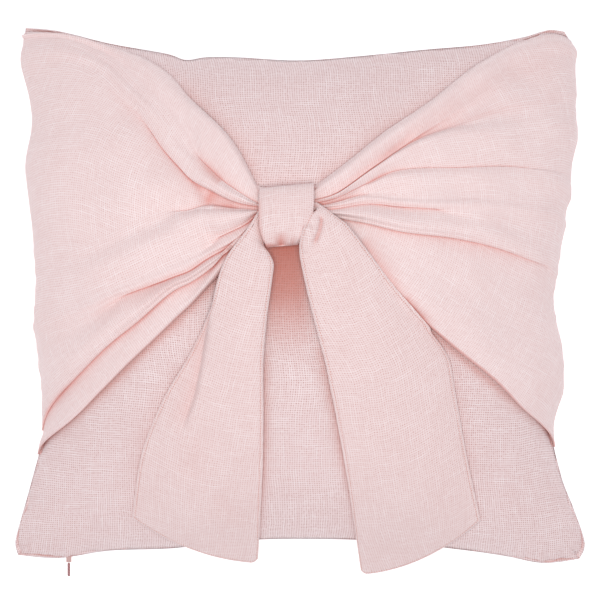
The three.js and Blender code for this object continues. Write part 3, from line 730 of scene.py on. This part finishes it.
# %% What the rolls are built on
def wing_frame(table, outward, t, flatten):
    """At each row: the lines, the rolls' widths, the creases' floors and steps, and the bends' sizes."""
    lines = [wing_line(line["points"], outward, t) for line in table]
    seen = [plan(np.sin(line[:, 0]), np.sin(line[:, 1])) for line in lines]
    widths = [np.maximum(NARROWEST, np.linalg.norm(b - a, axis=-1)) for a, b in zip(seen, seen[1:])]
    level = steps_along(RISE, t)
    floors = [level + steps_along(line["lift"], t) for line in table]
    floors[0], floors[-1] = 0 * level, 0 * level
    steps = [steps_along(line["step"], t) * flatten for line in table]
    steps[0], steps[-1] = EDGE_STEP - EDGE_RISE * level, steps[-1] + level
    bends = [smooth(*FOLDED, np.abs(step)) for step in steps]
    radii = [np.abs(step) / 2 * bend for step, bend in zip(steps, bends)]
    for k in range(1, len(table) - 1):
        radii[k] = np.minimum(radii[k], NARROW_BEND * np.minimum(widths[k - 1], widths[k]))
    radii[0] = np.minimum(np.abs(steps[0]) * EDGE_ROUND, 0.5 * widths[0])
    radii[-1] = np.minimum(np.abs(steps[-1]) * HEM_ROUND, 0.4 * widths[-1])
    wide = [np.minimum(a, b) for a, b in zip([widths[0]] + widths, widths + [widths[-1]])]
    spreads = [np.minimum(WIDEST_SPREAD, 0.2 * room) * (1 - bend) for room, bend in zip(wide, bends)]
    signs = [np.sign(sum(value for _, value in line["step"])) for line in table]
    return dict(lines=lines, widths=widths, floors=floors, steps=steps, radii=radii, spreads=spreads,
                signs=signs)


def column_shape(base, table, t, flatten, k, zone, q):
    """How far across roll k a column runs and how high it rises, at each row."""
    width, step0, step1 = base["widths"][k], base["steps"][k], base["steps"][k + 1]
    (low0, low1), (r0, r1) = base["floors"][k:k + 2], base["radii"][k:k + 2]
    (spread0, spread1), signs = base["spreads"][k:k + 2], base["signs"]
    top0, top1 = low0 + np.maximum(0, -step0), low1 + np.maximum(0, step1)
    turn = q * np.pi
    if zone == "edge":
        return r0 * (1 - np.cos(turn / 2)), top0 * np.sin(turn / 2)
    if zone == "hem":
        return width - r1 * (1 - np.cos(turn / 2)), top1 * np.sin(turn / 2)
    if zone == "start":
        return r0 * (1 - np.sin(turn)) + spread0 * (1 - 2 * q), mix(low0, top0, (1 + np.cos(turn)) / 2)
    if zone == "end":
        across = width - r1 * (1 - np.sin(turn)) - spread1 * (1 - 2 * q)
        return across, mix(low1, top1, (1 + np.cos(turn)) / 2)
    at_start = r0 + spread0 if signs[k] < 0 else -r0 + spread0
    at_end = width - r1 - spread1 if signs[k + 1] > 0 else width + r1 - spread1
    sharp0, sharp1 = np.clip(np.abs(step0) / 2, 0, 1), np.clip(np.abs(step1) / 2, 0, 1)
    peak = 0.5 + 0.14 * (np.clip(step1 / 2, -1, 1) + np.clip(step0 / 2, -1, 1))
    swell = steps_along(table[k]["swell"], t) * flatten
    rise = mix(top0, top1, smooth(0, 1, q)) + swell * roll_shape(q, sharp0, sharp1, peak)
    return mix(at_start, at_end, q), rise


def column_shade(base, table, t, k, zone, q, across):
    """The painted shade of a column, deepest at the creases and down the hem's wall."""
    tints = [steps_along(line.get("shade", [(0, 0)]), t) for line in table[k:k + 2]]
    reach0 = table[k].get("reach", LONG_REACH) if base["signs"][k] >= 0 else SHORT_REACH
    reach1 = table[k + 1].get("reach", LONG_REACH) if base["signs"][k + 1] <= 0 else SHORT_REACH
    far0, far1 = np.maximum(across, 0), np.maximum(base["widths"][k] - across, 0)
    tone = np.maximum(tints[0] * np.exp(-(far0 / reach0) ** 1.3), tints[1] * np.exp(-(far1 / reach1) ** 1.3))
    # Painted shade down the hem's wall.
    if zone == "hem":
        tone = np.maximum(tone, steps_along(table[-1]["wall"], t) * (1 - q) ** 0.6)
    return tone


print("zones:", sorted({zone for _, zone, _ in wing_columns(LEFT_WING)}))


# %% Build a wing
def wing_grid(table, outward):
    """At each point of the grid: u and v on the panel, the height over it and the painted shade."""
    knot_rows = -np.linspace(1, 0, KNOT_ROWS, endpoint=False)
    t = np.concatenate([knot_rows, np.linspace(0, 1, WING_ROWS)[:-1], LAST_ROWS])
    inside, t = np.maximum(0, -t), np.maximum(0, t)
    flatten = mix(1, GATHER["flatten"], inside)
    base = wing_frame(table, outward, t, flatten)
    columns = wing_columns(table)
    u, v, high, shade = (np.empty((len(t), len(columns))) for _ in range(4))
    for j, (k, zone, q) in enumerate(columns):
        across, high[:, j] = column_shape(base, table, t, flatten, k, zone, q)
        shade[:, j] = column_shade(base, table, t, k, zone, q, across)
        at = np.sin(over_rolls(base["lines"], base["widths"], k, across))
        here = plan(at[:, 0], at[:, 1])
        pinched = GATHER["y"] + (here[:, 1] - GATHER["y"]) * mix(1, GATHER["squeeze"], inside)
        gathered = panel_at(here[:, 0] - outward * GATHER["length"] * inside, pinched)
        u[:, j] = np.where(inside > 0, gathered[0], at[:, 0])
        v[:, j] = np.where(inside > 0, gathered[1], at[:, 1])
    return u, v, high, shade, t, np.array([k for k, _, _ in columns])


def wing_cut(skin, rolls):
    """The flat place of each cell. Every roll lies beside the next one, measured from its own middle."""
    across, far = lengths(skin, 1), lengths(skin, 0)
    middles = [np.flatnonzero(rolls == k)[np.sum(rolls == k) // 2] for k in range(rolls[-1] + 1)]
    centre = across[:, [middles[k] for k in rolls[:-1]]]
    shift = np.array([FLAT_STEP * k for k in rolls[:-1]])
    near = np.stack([far[:, :-1], across[:, :-1] - centre + shift], -1)
    distant = np.stack([far[:, 1:], across[:, 1:] - centre + shift], -1)
    return np.stack([near, distant], 2)


def wing(name, table, outward, seed):
    u, v, high, shade, t, rolls = wing_grid(table, outward)
    foot, out = face(u, v), out_of(u, v)
    way, over = lengths(foot, 0), lengths(foot, 1)
    share = np.broadcast_to(t[:, None], u.shape)
    to_seam = way[-1] - way
    fine = ripples(foot[..., 0], foot[..., 1], 46, seed + 3) * 0.9 * smooth(0.25, 0.55, share)
    along_seam = ripples(foot[..., 1], to_seam * 0.25, 15, seed + 7) * 0.8
    fine = fine + along_seam * np.exp(-to_seam / 20) * smooth(0, 6, to_seam)
    from_edge = np.minimum(over, over[:, -1:] - over)
    high = np.maximum(high + fine * smooth(2, 12, from_edge), 0)

    gap = mix(SEWN_GAP, SEWN_SINK, smooth(0.93, 1, share))
    skin = foot + out * (gap + WING_THICK + high)[..., None]
    normal = normals_of(skin)
    normal = normal * np.sign(np.sum(normal * out, -1).mean())
    along_edge = np.minimum(lengths(skin, 1), lengths(skin, 1)[:, -1:] - lengths(skin, 1))
    along_way = np.minimum(lengths(skin, 0), lengths(skin, 0)[-1:] - lengths(skin, 0))
    skin, lining = rounded(skin, normal, WING_THICK, np.minimum(along_edge, along_way))
    return cloth(name, skin, lining, wing_cut(skin, rolls), shade, bow_linen)


# %% Both wings
left_wing = wing("bow_left_wing", LEFT_WING, -1, 41)
right_wing = wing("bow_right_wing", RIGHT_WING, 1, 57)
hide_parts("left_wing")
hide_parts("right_wing")

# %% [markdown]
# ## The tails
# A tail is a double cloth, turned inside out after sewing and stitched again just inside its edge. It
# comes out of the knot, hangs over the crown of the cushion and falls past its lower edge, with a
# slanting end. It is made from rungs: the left and right edge at each step down, with their height over
# the face below. Where a wing lies in between, rays from above find how high the tail has to lie. Its
# rim is pressed thinner than its middle, so it casts no dark outline on what it lies on.

# %% The edges of the tails
TAIL_THICK, RIM_THICK, RIM_WIDTH, REST_GAP = 1.6, 0.8, 2.4, 0.3
LEFT_TAIL = dict(
    left=[(-30, 66, 12), (-33.5, 60.5, 15), (-37, 55, 17), (-41.5, 48.5, 17), (-48, 40, 16.5),
          (-56, 29, 16), (-63, 13, 14), (-71, -16, 9), (-86.3, -49, 0), (-107.5, -85, 0),
          (-124.3, -128, 0), (-132, -178, 0)],
    right=[(-24, 62, 12), (-25, 52, 13), (-25.5, 44, 12), (-27, 36, 12), (-23, 30, 14.5), (-20, 22, 16),
           (-21, 10, 15), (-25, -20, 11), (-28, -56, 7), (-28, -96, 3.5), (-29, -142, 2), (-33, -215.5, 2)],
    dip=[0, -0.5, -1.5, -2, -2, -2.5, -3, -4, -6, -6, -4, -2], bulge=8, corner=1)
RIGHT_TAIL = dict(
    left=[(6, 62, 13), (11, 63.5, 15), (11.5, 62.8, 19.5), (6.5, 59.4, 22), (2.6, 51, 22), (0, 43, 20),
          (-1, 32, 17.5), (2.5, 12, 15), (9, -16, 12), (19, -54, 8), (23.5, -76, 6), (28, -98, 3.5),
          (36, -144, 2), (48, -225, 2)],
    right=[(6, 68, 13), (12, 69.5, 15), (18.5, 66.5, 16), (27, 60, 16.5), (35.5, 53.5, 17), (42.5, 45, 17),
           (49.5, 36, 15), (60, 22, 12), (73.2, 4, 8), (101.5, -30, 3), (116, -51, 0), (120.8, -76, 0),
           (130.5, -128, 0), (142, -180, 0)],
    dip=[0, 0, -0.5, -1, -2, -2.5, -3, -4, -5, -6, -6, -5, -4, -2], bulge=10, corner=0)
TAIL_WIDTH, TAIL_LENGTH = 105, 280
TAIL_ROWS, TAIL_COLUMNS, TAIL_END = 210, 104, 0.8
TAIL_LEAVES, TAIL_SLOPE = -0.955, 1.15
HEM_INSET, CORNER_ROUND = 2.6, 4
GROOVE_DEPTH, GROOVE_WIDTH = 0.45, 0.5
RIM_STEPS = np.array([0, 0.03, 0.12, 0.28, 0.6, 1.1, 1.6, 2, 2.3, 2.6, 2.9, 3.3, 4])
print("tails:", len(LEFT_TAIL["left"]), "and", len(RIGHT_TAIL["left"]), "rungs")


# %% Creases and what a tail rests on
def along(values, t):
    """A value given at even shares of the way, read smoothly at t."""
    return curve(np.asarray(values, float)[:, None], t)[..., 0]


def stroke(x, y, points, width, soft_width, fade=(0.25, 0.25)):
    """How deep a crease along points is felt at x, y: 1 on its line, fading at both ends.

    To the right of its way it falls off over width, and to the left over soft_width.
    """
    points = curve(points, np.linspace(0, 1, 25))
    best = np.full(np.shape(x), 1e9)
    signed, share = np.zeros(np.shape(x)), np.zeros(np.shape(x))
    for k in range(len(points) - 1):
        (ax, ay), (bx, by) = points[k], points[k + 1]
        dx, dy = bx - ax, by - ay
        w = np.clip(((x - ax) * dx + (y - ay) * dy) / (dx * dx + dy * dy), 0, 1)
        px, py = x - ax - w * dx, y - ay - w * dy
        far = np.hypot(px, py)
        near = far < best
        best = np.where(near, far, best)
        signed = np.where(near, dx * py - dy * px, signed)
        share = np.where(near, (k + w) / (len(points) - 1), share)
    side = np.where(signed > 0, soft_width, width)
    ends = smooth(0, fade[0], share) * smooth(0, fade[1], 1 - share)
    return np.exp(-(best / side) ** 1.3) * ends


def under_tail(x, y):
    """What a tail lies over: the face, and a straight slope past the cushion's lower edge."""
    u, v = panel_at(x, y)
    last = np.full_like(v, TAIL_LEAVES)
    leave = plan(u, last)[..., 1]
    return np.where(v > TAIL_LEAVES, face(u, v)[..., 2], face(u, last)[..., 2] - TAIL_SLOPE * (leave - y))


def resting_on(pieces, x, y):
    """The height in mm of the highest of the pieces at each place, and 0 beside them."""
    high = np.zeros(x.shape)
    graph = bpy.context.evaluated_depsgraph_get()
    for piece in pieces:
        tree = BVHTree.FromObject(piece, graph)
        for i in np.ndindex(x.shape):
            hit = tree.ray_cast((x[i] * MM, y[i] * MM, 0.4), (0, 0, -1))[0]
            if hit is not None:
                high[i] = max(high[i], hit.z / MM)
    return high


def laid_on(pieces, x, y, below):
    """How far off the face a tail lies, evened out down its length, so that it clears the pieces."""
    lies = np.maximum(resting_on(pieces, x, y) - below, 0) + REST_GAP
    longer = np.pad(lies, ((3, 3), (0, 0)), "edge")
    lies = np.max([longer[k:k + len(lies)] for k in range(7)], axis=0)
    for _ in range(4):
        lies[1:-1] = (lies[:-2] + 2 * lies[1:-1] + lies[2:]) / 4
    return lies


print("the face below the tails' start:", under_tail(np.array([0.0]), np.array([40.0])).round(1), "mm")


# %% Build a tail
def tail(name, shape, strokes, seed):
    rim = RIM_STEPS / TAIL_WIDTH
    even = np.linspace(0.05, 0.95, TAIL_COLUMNS - 2 * len(rim))
    s = np.concatenate([rim, even, 1 - rim[::-1]])[None, :]
    rim = RIM_STEPS / TAIL_LENGTH
    t = np.concatenate([np.linspace(0, 0.98, TAIL_ROWS - len(rim)), 1 - rim[::-1]])[:, None]
    a, b = curve(shape["left"], t[:, 0])[:, None], curve(shape["right"], t[:, 0])[:, None]
    hump = 4 * s * (1 - s)
    plane = mix(a, b, s[..., None])
    x = plane[..., 0]
    y = plane[..., 1] - smooth(TAIL_END, 1, t) * shape["bulge"] * hump
    y = y + smooth(0.9, 1, t) * CORNER_ROUND * np.clip((0.06 - abs(s - shape["corner"])) / 0.06, 0, 1) ** 2
    up = plane[..., 2] - along(shape["dip"], t) * hump
    up = up + 1.1 * ripples(x, y * 0.35, 55, seed) * smooth(0.1, 0.4, t) * hump
    shade = np.zeros_like(up)
    # Each crease is pressed in and also gets painted shade.
    for depth, shade_tint, points, width, soft_width in strokes:
        felt = stroke(x, y, points, width, soft_width)
        up = up - depth * felt
        shade = np.maximum(shade, shade_tint * felt)
    below = under_tail(x, y)
    lies = laid_on([cushion, left_wing, right_wing], x, y, below)
    held = smooth(20, 48, y)
    middle = np.stack([x, y, below + mix(np.maximum(up, lies), up, held) + TAIL_THICK], -1)
    normal = normals_of(middle)
    normal = normal * np.sign(normal[..., 2].mean())
    across, way = lengths(middle, 1), lengths(middle, 0)
    edge = np.minimum(np.minimum(across, across[:, -1:] - across), way[-1:] - way)
    groove = GROOVE_DEPTH * np.exp(-((edge - HEM_INSET) / GROOVE_WIDTH) ** 2)
    thick = mix(RIM_THICK, TAIL_THICK, smooth(0, RIM_WIDTH, edge))
    middle = middle - normal * (TAIL_THICK - thick)[..., None]
    skin, lining = rounded(middle, normal, thick, edge)
    skin = skin - normal * groove[..., None]
    flat = np.stack([across - across[:, -1:] / 2, way], -1)
    cells = np.stack([flat[:, :-1], flat[:, 1:]], 2)
    piece = cloth(name, skin, lining, cells, shade, shaded_tail_linen)
    return piece, skin, normal, across, way


# %% Both tails
# Each crease: depth in mm, shade_tint (the strength of its painted shade), its line, and its width to the
# right and to the left of it.
LEFT_TAIL_STROKES = [
    (4.5, 0.12, [(-67, 6), (-72, -25), (-75, -42), (-78, -60), (-82, -80), (-88, -97), (-93, -112)],
     12, 1.6),
    (1.2, 0.05, [(-78, -104), (-81, -127), (-93, -145)], 8, 8),
    (1.2, 0.05, [(-70, -155), (-52, -172), (-38, -184)], 7, 7),
]
RIGHT_TAIL_STROKES = [
    (-3.0, 0.0, [(7, 53), (5, 45), (4, 37), (4, 28)], 5, 5),
    (4.0, 0.05, [(14.5, 60), (16.2, 56), (16, 52), (14.6, 46), (12, 40), (9, 33)], 1.6, 2.0),
]
left_tail, *left_tail_shape = tail("bow_left_tail", LEFT_TAIL, LEFT_TAIL_STROKES, 71)
right_tail, *right_tail_shape = tail("bow_right_tail", RIGHT_TAIL, RIGHT_TAIL_STROKES, 83)
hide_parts("left_tail")
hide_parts("right_tail")

# %% [markdown]
# ## The knot band
# The band is a folded strip that goes once round the gathers. It is a closed loop, wider at its top
# than at its bottom, where the tails squeeze it.

# %% Knot band
BAND = dict(x=-10, y=59, half_high=23.4, half_deep=12, lift=0.2, lean=0.085, squareness=2.7, thick=2.2,
            left=(-31.9, -32.2, -32.4, -32, -29.6, -26.4), right=(11.3, 11.3, 11.2, 9.6, 4.8, -1))
BAND_AROUND, BAND_ACROSS, BAND_LONG = 160, 44, 40


def face_height(dx, dy):
    """The height of the cushion's face below a place beside the band's middle."""
    return face(*panel_at(np.array(BAND["x"] + dx, float), np.array(BAND["y"] + dy, float)))[..., 2]


def band_dents(x, y):
    """How deep the two dents are that pinch its lower edge."""
    dent = 4.2 * stroke(x, y, [(-14, 33), (-14, 40), (-13, 47), (-15, 57)], 4.5, 5.5, fade=(0.01, 0.7))
    dent = dent + 1.2 * stroke(x, y, [(-6, 33), (-6, 40), (-7, 47)], 2.5, 2.5, fade=(0.01, 0.7))
    return dent


def band_shade(x, y, s, front):
    """Its painted shade: deep in the dents, along its lower edge and beside the left tail."""
    tone = 0.75 * stroke(x, y, [(-15, 31), (-15, 38), (-14, 48)], 4.5, 4, fade=(0.01, 0.6))
    tone = np.maximum(tone, 0.4 * stroke(x, y, [(-6, 32), (-6, 38), (-7, 46)], 3, 2.5, fade=(0.01, 0.7)))
    tone = np.maximum(tone, 0.7 * (1 - smooth(34, 39.5, y)))
    return np.maximum(tone, 0.35 * np.exp(-(s / 0.05) ** 2) * smooth(74, 66, y)) * front


print("the face below the knot lies at", round(float(face_height(0, 0)), 1), "mm")


# %% Build the knot band
def knot_band():
    reach_x, reach_y = 22, 20
    slope = (face_height(0, reach_y) - face_height(0, -reach_y)) / (2 * reach_y)
    spots = [(i, j) for i in (-reach_x, 0, reach_x) for j in (-reach_y, 0, reach_y)]
    highest = max(face_height(i, j) - slope * j for i, j in spots)
    middle = highest + BAND["lift"] + BAND["half_deep"]
    angle = np.linspace(0, 2 * np.pi, BAND_AROUND + 1)[None, :]
    r = BAND["thick"] / 2
    rim = np.array([0, 0.08, 0.3, 0.7]) * r / BAND_LONG
    s = np.concatenate([rim, np.linspace(0.03, 0.97, BAND_ACROSS - 8), 1 - rim[::-1]])[:, None]
    to_bottom = (1 - np.cos(angle)) / 2
    x = mix(along(BAND["left"], to_bottom), along(BAND["right"], to_bottom), s)
    power = 2 / BAND["squareness"]
    round_y = np.sign(np.cos(angle)) * np.abs(np.cos(angle)) ** power
    round_z = np.sign(np.sin(angle)) * np.abs(np.sin(angle)) ** power
    front = smooth(0, 0.45, round_z)
    y = BAND["y"] + BAND["half_high"] * round_y + BAND["lean"] * (x - BAND["x"])
    z = middle + slope * (y - BAND["y"]) + BAND["half_deep"] * round_z
    wrinkle = 0.3 * ripples(x, y * 0.2, 7, 97)
    slope_down = 3.2 * np.abs(2 * s - 1) ** 3.5
    z = z - (band_dents(x, y) - wrinkle + slope_down) * front
    y = y + 0.8 * stroke(x, y, [(-14, 30), (-14, 42)], 4, 4, fade=(0.01, 0.4)) * front
    skin = np.stack(np.broadcast_arrays(x, y, z), -1)
    normal = normals_of(skin)
    outwards = skin - [BAND["x"], BAND["y"], middle]
    normal = normal * np.sign(np.sum(normal * outwards, -1).mean())
    normal[:, 0] = normal[:, -1] = (normal[:, 1] + normal[:, -2]) / 2
    way = lengths(skin, 0)
    edge = np.minimum(way, way[-1:] - way)
    skin, lining = rounded(skin, normal, BAND["thick"], edge)
    round_it = lengths(skin, 1)
    flat = np.stack([way - way[-1:] / 2, round_it], -1)
    cells = np.stack([flat[:, :-1], flat[:, 1:]], 2)
    shade = band_shade(x, y, s, front)
    return cloth("bow_knot_band", skin, lining, cells, shade, shaded_tail_linen)


band = knot_band()
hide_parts("knot_band")

# %% [markdown]
# ## The shade beside the folds
# Light that gets in between two layers of pink cloth comes out pinker. The cover and the wings get
# painted shade, a deeper tone, along the lines where another piece lies on them.

# %% Shade between the layers
def paint_shade_along(piece, strokes):
    """Paints shade into the tone of a piece along strokes: shade_tint, points, width to the right and to the
    left.
    """
    mesh = piece.data
    place = np.empty(len(mesh.vertices) * 3)
    mesh.vertices.foreach_get("co", place)
    x, y, z = place.reshape(-1, 3).T / MM
    layer = mesh.attributes["shade"].data
    value = np.empty(len(layer))
    layer.foreach_get("value", value)
    for shade_tint, points, width, soft_width in strokes:
        felt = stroke(x, y, points, width, soft_width, fade=(0.12, 0.4))
        value = np.where(z > SEAM_HEIGHT - 8, np.maximum(value, shade_tint * felt), value)
    layer.foreach_set("value", value)


paint_shade_along(cushion, [
    (0.45, [(-54, 20), (-72, 2), (-87, -14), (-118, -43), (-152, -76), (-183, -106), (-205, -129)],
     3.4, 3.4),
    (0.42, [(92, -22), (100, -29), (120, -46), (146, -68), (172, -91), (190, -112)], 3, 3),
    (0.32, [(-27, -38), (-28, -96), (-29, -142), (-31, -190)], 4, 4),
    (0.32, [(14, -34), (22, -72), (29, -104), (36, -144), (43, -190)], 4, 4),
    (0.2, LEFT_WING[0]["points"][:5], 6, 6),
    (0.2, RIGHT_WING[0]["points"][:5], 6, 6),
    (0.1, [(-90, -52), (-109, -88), (-126, -130), (-134, -178)], 9, 9),
    (0.1, [(118, -56), (122, -80), (132, -130), (143, -178)], 9, 9),
])
paint_shade_along(left_wing, [
    (0.5, [(-67, 79), (-70, 74), (-71.5, 70), (-72, 65)], 4, 7),
    (0.3, [(-68, 66.5), (-60, 66), (-52, 65.4), (-44, 64.4)], 2, 3),
    (0.4, [(-61, 85), (-66, 90), (-73, 97), (-85, 112)], 3.5, 3.5),
])
paint_shade_along(right_wing, [
    (0.32, [(46, 42), (56, 29), (66, 15), (76, 2), (88, -12)], 2, 5),
    (0.5, [(80, -3), (88, -13), (96, -22), (104, -31)], 2, 3.5),
])
print("shade added to", cushion.name, left_wing.name, right_wing.name)

# %% [markdown]
# ## Topstitching
# The tails are stitched 2.6 mm inside their edges, which holds the turned seam flat. A real stitch is a
# short thread that dives into the cloth at both ends. A line in a bump map would vanish from the side,
# so each stitch is a small stretched ball in the groove, turned to follow the line and the cloth.

# %% A finish from one pattern
def finish(name, kind, pattern, tones, bump, roughness, sheen=0.0, **settings):
    """A material whose tone and relief both follow one pattern on Object coordinates."""
    material = bpy.data.materials.new(name)
    material.use_nodes = True
    tree = material.node_tree
    shader = tree.nodes["Principled BSDF"]
    place = add(tree, "TexCoord").outputs["Object"]
    drawn = add(tree, kind, {"Vector": place, **pattern}, **settings).outputs["Fac"]
    tone = add(tree, "ValToRGB", {"Fac": drawn})
    for element, (position, code) in zip(tone.color_ramp.elements, tones):
        element.position = position
        element.color = (*linear(code), 1)
    relief = add(tree, "Bump", {"Strength": bump[0], "Distance": bump[1] * MM, "Height": drawn})
    tree.links.new(tone.outputs["Color"], shader.inputs["Base Color"])
    tree.links.new(relief.outputs[0], shader.inputs["Normal"])
    shader.inputs["Roughness"].default_value = roughness
    shader.inputs["Sheen Weight"].default_value = sheen
    return material


# Twisted polyester: a little glossier than linen, with the plies as fine light and dark spots. Its tones
# are darker salmon than the cloth: painted shade of the holes the stitches sink into.
thread = finish("polyester_thread", "TexNoise", {"Scale": 2500.0, "Detail": 1.0},
                ((0.35, "C98676"), (0.7, "DFA597")), (0.4, 0.05), 0.6, sheen=0.2)
print("thread:", thread.name)

# %% Stitches
STITCH_STEP, STITCH_LENGTH, STITCH_WIDTH, STITCH_SINK = 2.1, 1.5, 0.75, 0.05
FIRST_STITCH = 0.17


def between(grid, i, j):
    """A grid read at fractions of its rows and columns."""
    i0 = np.minimum(i.astype(int), grid.shape[0] - 2)
    j0 = np.minimum(j.astype(int), grid.shape[1] - 2)
    a, b = (i - i0)[:, None], (j - j0)[:, None]
    return mix(mix(grid[i0, j0], grid[i0, j0 + 1], b), mix(grid[i0 + 1, j0], grid[i0 + 1, j0 + 1], b), a)


def stitch_line(shape):
    """Each stitch's middle and its three directions, down the left edge, over the end and up the right."""
    skin, normal, across, way = shape
    rows, columns = skin.shape[:2]
    to_end = way[-1] - way
    down = [i for i in range(int(rows * FIRST_STITCH), rows) if to_end[i].min() > HEM_INSET]
    left = [np.interp(HEM_INSET, across[i], range(columns)) for i in down]
    right = [np.interp(across[i, -1] - HEM_INSET, across[i], range(columns)) for i in down]
    over = [j for j in range(columns) if left[-1] < j < right[-1]]
    low = [rows - 1 - np.interp(HEM_INSET, to_end[::-1, j], range(rows)) for j in over]
    i = np.array(down + low + down[::-1], float)
    j = np.array(left + over + right[::-1], float)
    far = lengths(between(skin, i, j)[None], 1)[0]
    at = np.arange(STITCH_STEP, far[-1], STITCH_STEP)
    i, j = np.interp(at, far, i), np.interp(at, far, j)
    places = between(skin, i, j)
    out = between(normal, i, j)
    out /= np.linalg.norm(out, axis=-1, keepdims=True)
    side_way = np.cross(out, np.gradient(places, axis=0))
    side_way /= np.linalg.norm(side_way, axis=-1, keepdims=True)
    return places, np.stack([np.cross(side_way, out), side_way, out], 1)


print("stitches", STITCH_STEP, "mm apart,", HEM_INSET, "mm inside the edge")


# %% Sew the tails
def stitches(name, shape):
    """One mesh with all the stitches of a tail."""
    places, turns = stitch_line(shape)
    bm = bmesh.new()
    bmesh.ops.create_uvsphere(bm, u_segments=6, v_segments=4, radius=0.5)
    ball = bpy.data.meshes.new("one_stitch")
    bm.to_mesh(ball)
    for _ in places[1:]:
        bm.from_mesh(ball)
    mesh = bpy.data.meshes.new(name)
    bm.to_mesh(mesh)
    bm.free()
    spots = np.empty(len(ball.vertices) * 3)
    ball.vertices.foreach_get("co", spots)
    bpy.data.meshes.remove(ball)
    spots = spots.reshape(-1, 3) * [STITCH_LENGTH, STITCH_WIDTH, STITCH_WIDTH * 0.8] - [0, 0, STITCH_SINK]
    turned = np.einsum("kc,nca->nka", spots, turns)
    mesh.vertices.foreach_set("co", ((places[:, None] + turned) * MM).ravel())
    mesh.polygons.foreach_set("use_smooth", [True] * len(mesh.polygons))
    mesh.materials.append(thread)
    piece = bpy.data.objects.new(name, mesh)
    bpy.context.scene.collection.objects.link(piece)
    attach(piece, "root")
    print(name, "has", len(places), "stitches")
    return piece


left_stitches = stitches("left_tail_stitches", left_tail_shape)
right_stitches = stitches("right_tail_stitches", right_tail_shape)

# %% [markdown]
# ## The zip's slider and pull
# The zip hides in the bottom seam, and only its slider and a short pull show. The shapes are the CAD
# model's own. The slider is cast zinc with satin paint in the cloth's colour, so it is smooth with a
# fine orange peel. The pull is braided cord, so its tone and its relief run in slanting bands.

# %% Zip finishes
# Satin paint on cast zinc: smooth, with a soft highlight and the paint's orange peel about 1 mm wide.
satin = finish("satin_painted_zinc", "TexNoise", {"Scale": 900.0, "Detail": 2.0},
               ((0, "B58A84"), (1, "C9A29B")), (0.2, 0.05), 0.38)
# Braided polyester: matt, with slanting ridges.
BRAID_PITCH = 1.1 * MM
cord = finish("braided_polyester_cord", "TexWave",
              {"Scale": 1 / BRAID_PITCH / 3.2, "Distortion": 1.5, "Detail": 1.0},
              ((0, "8F5F60"), (1, "BE8C8A")), (0.7, 0.2), 0.8, sheen=0.25, bands_direction="DIAGONAL")

for node, material in (("zip_slider", satin), ("zip_pull", cord)):
    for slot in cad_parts[node].material_slots:
        slot.material = material
print("zip finishes:", satin.name, cord.name)
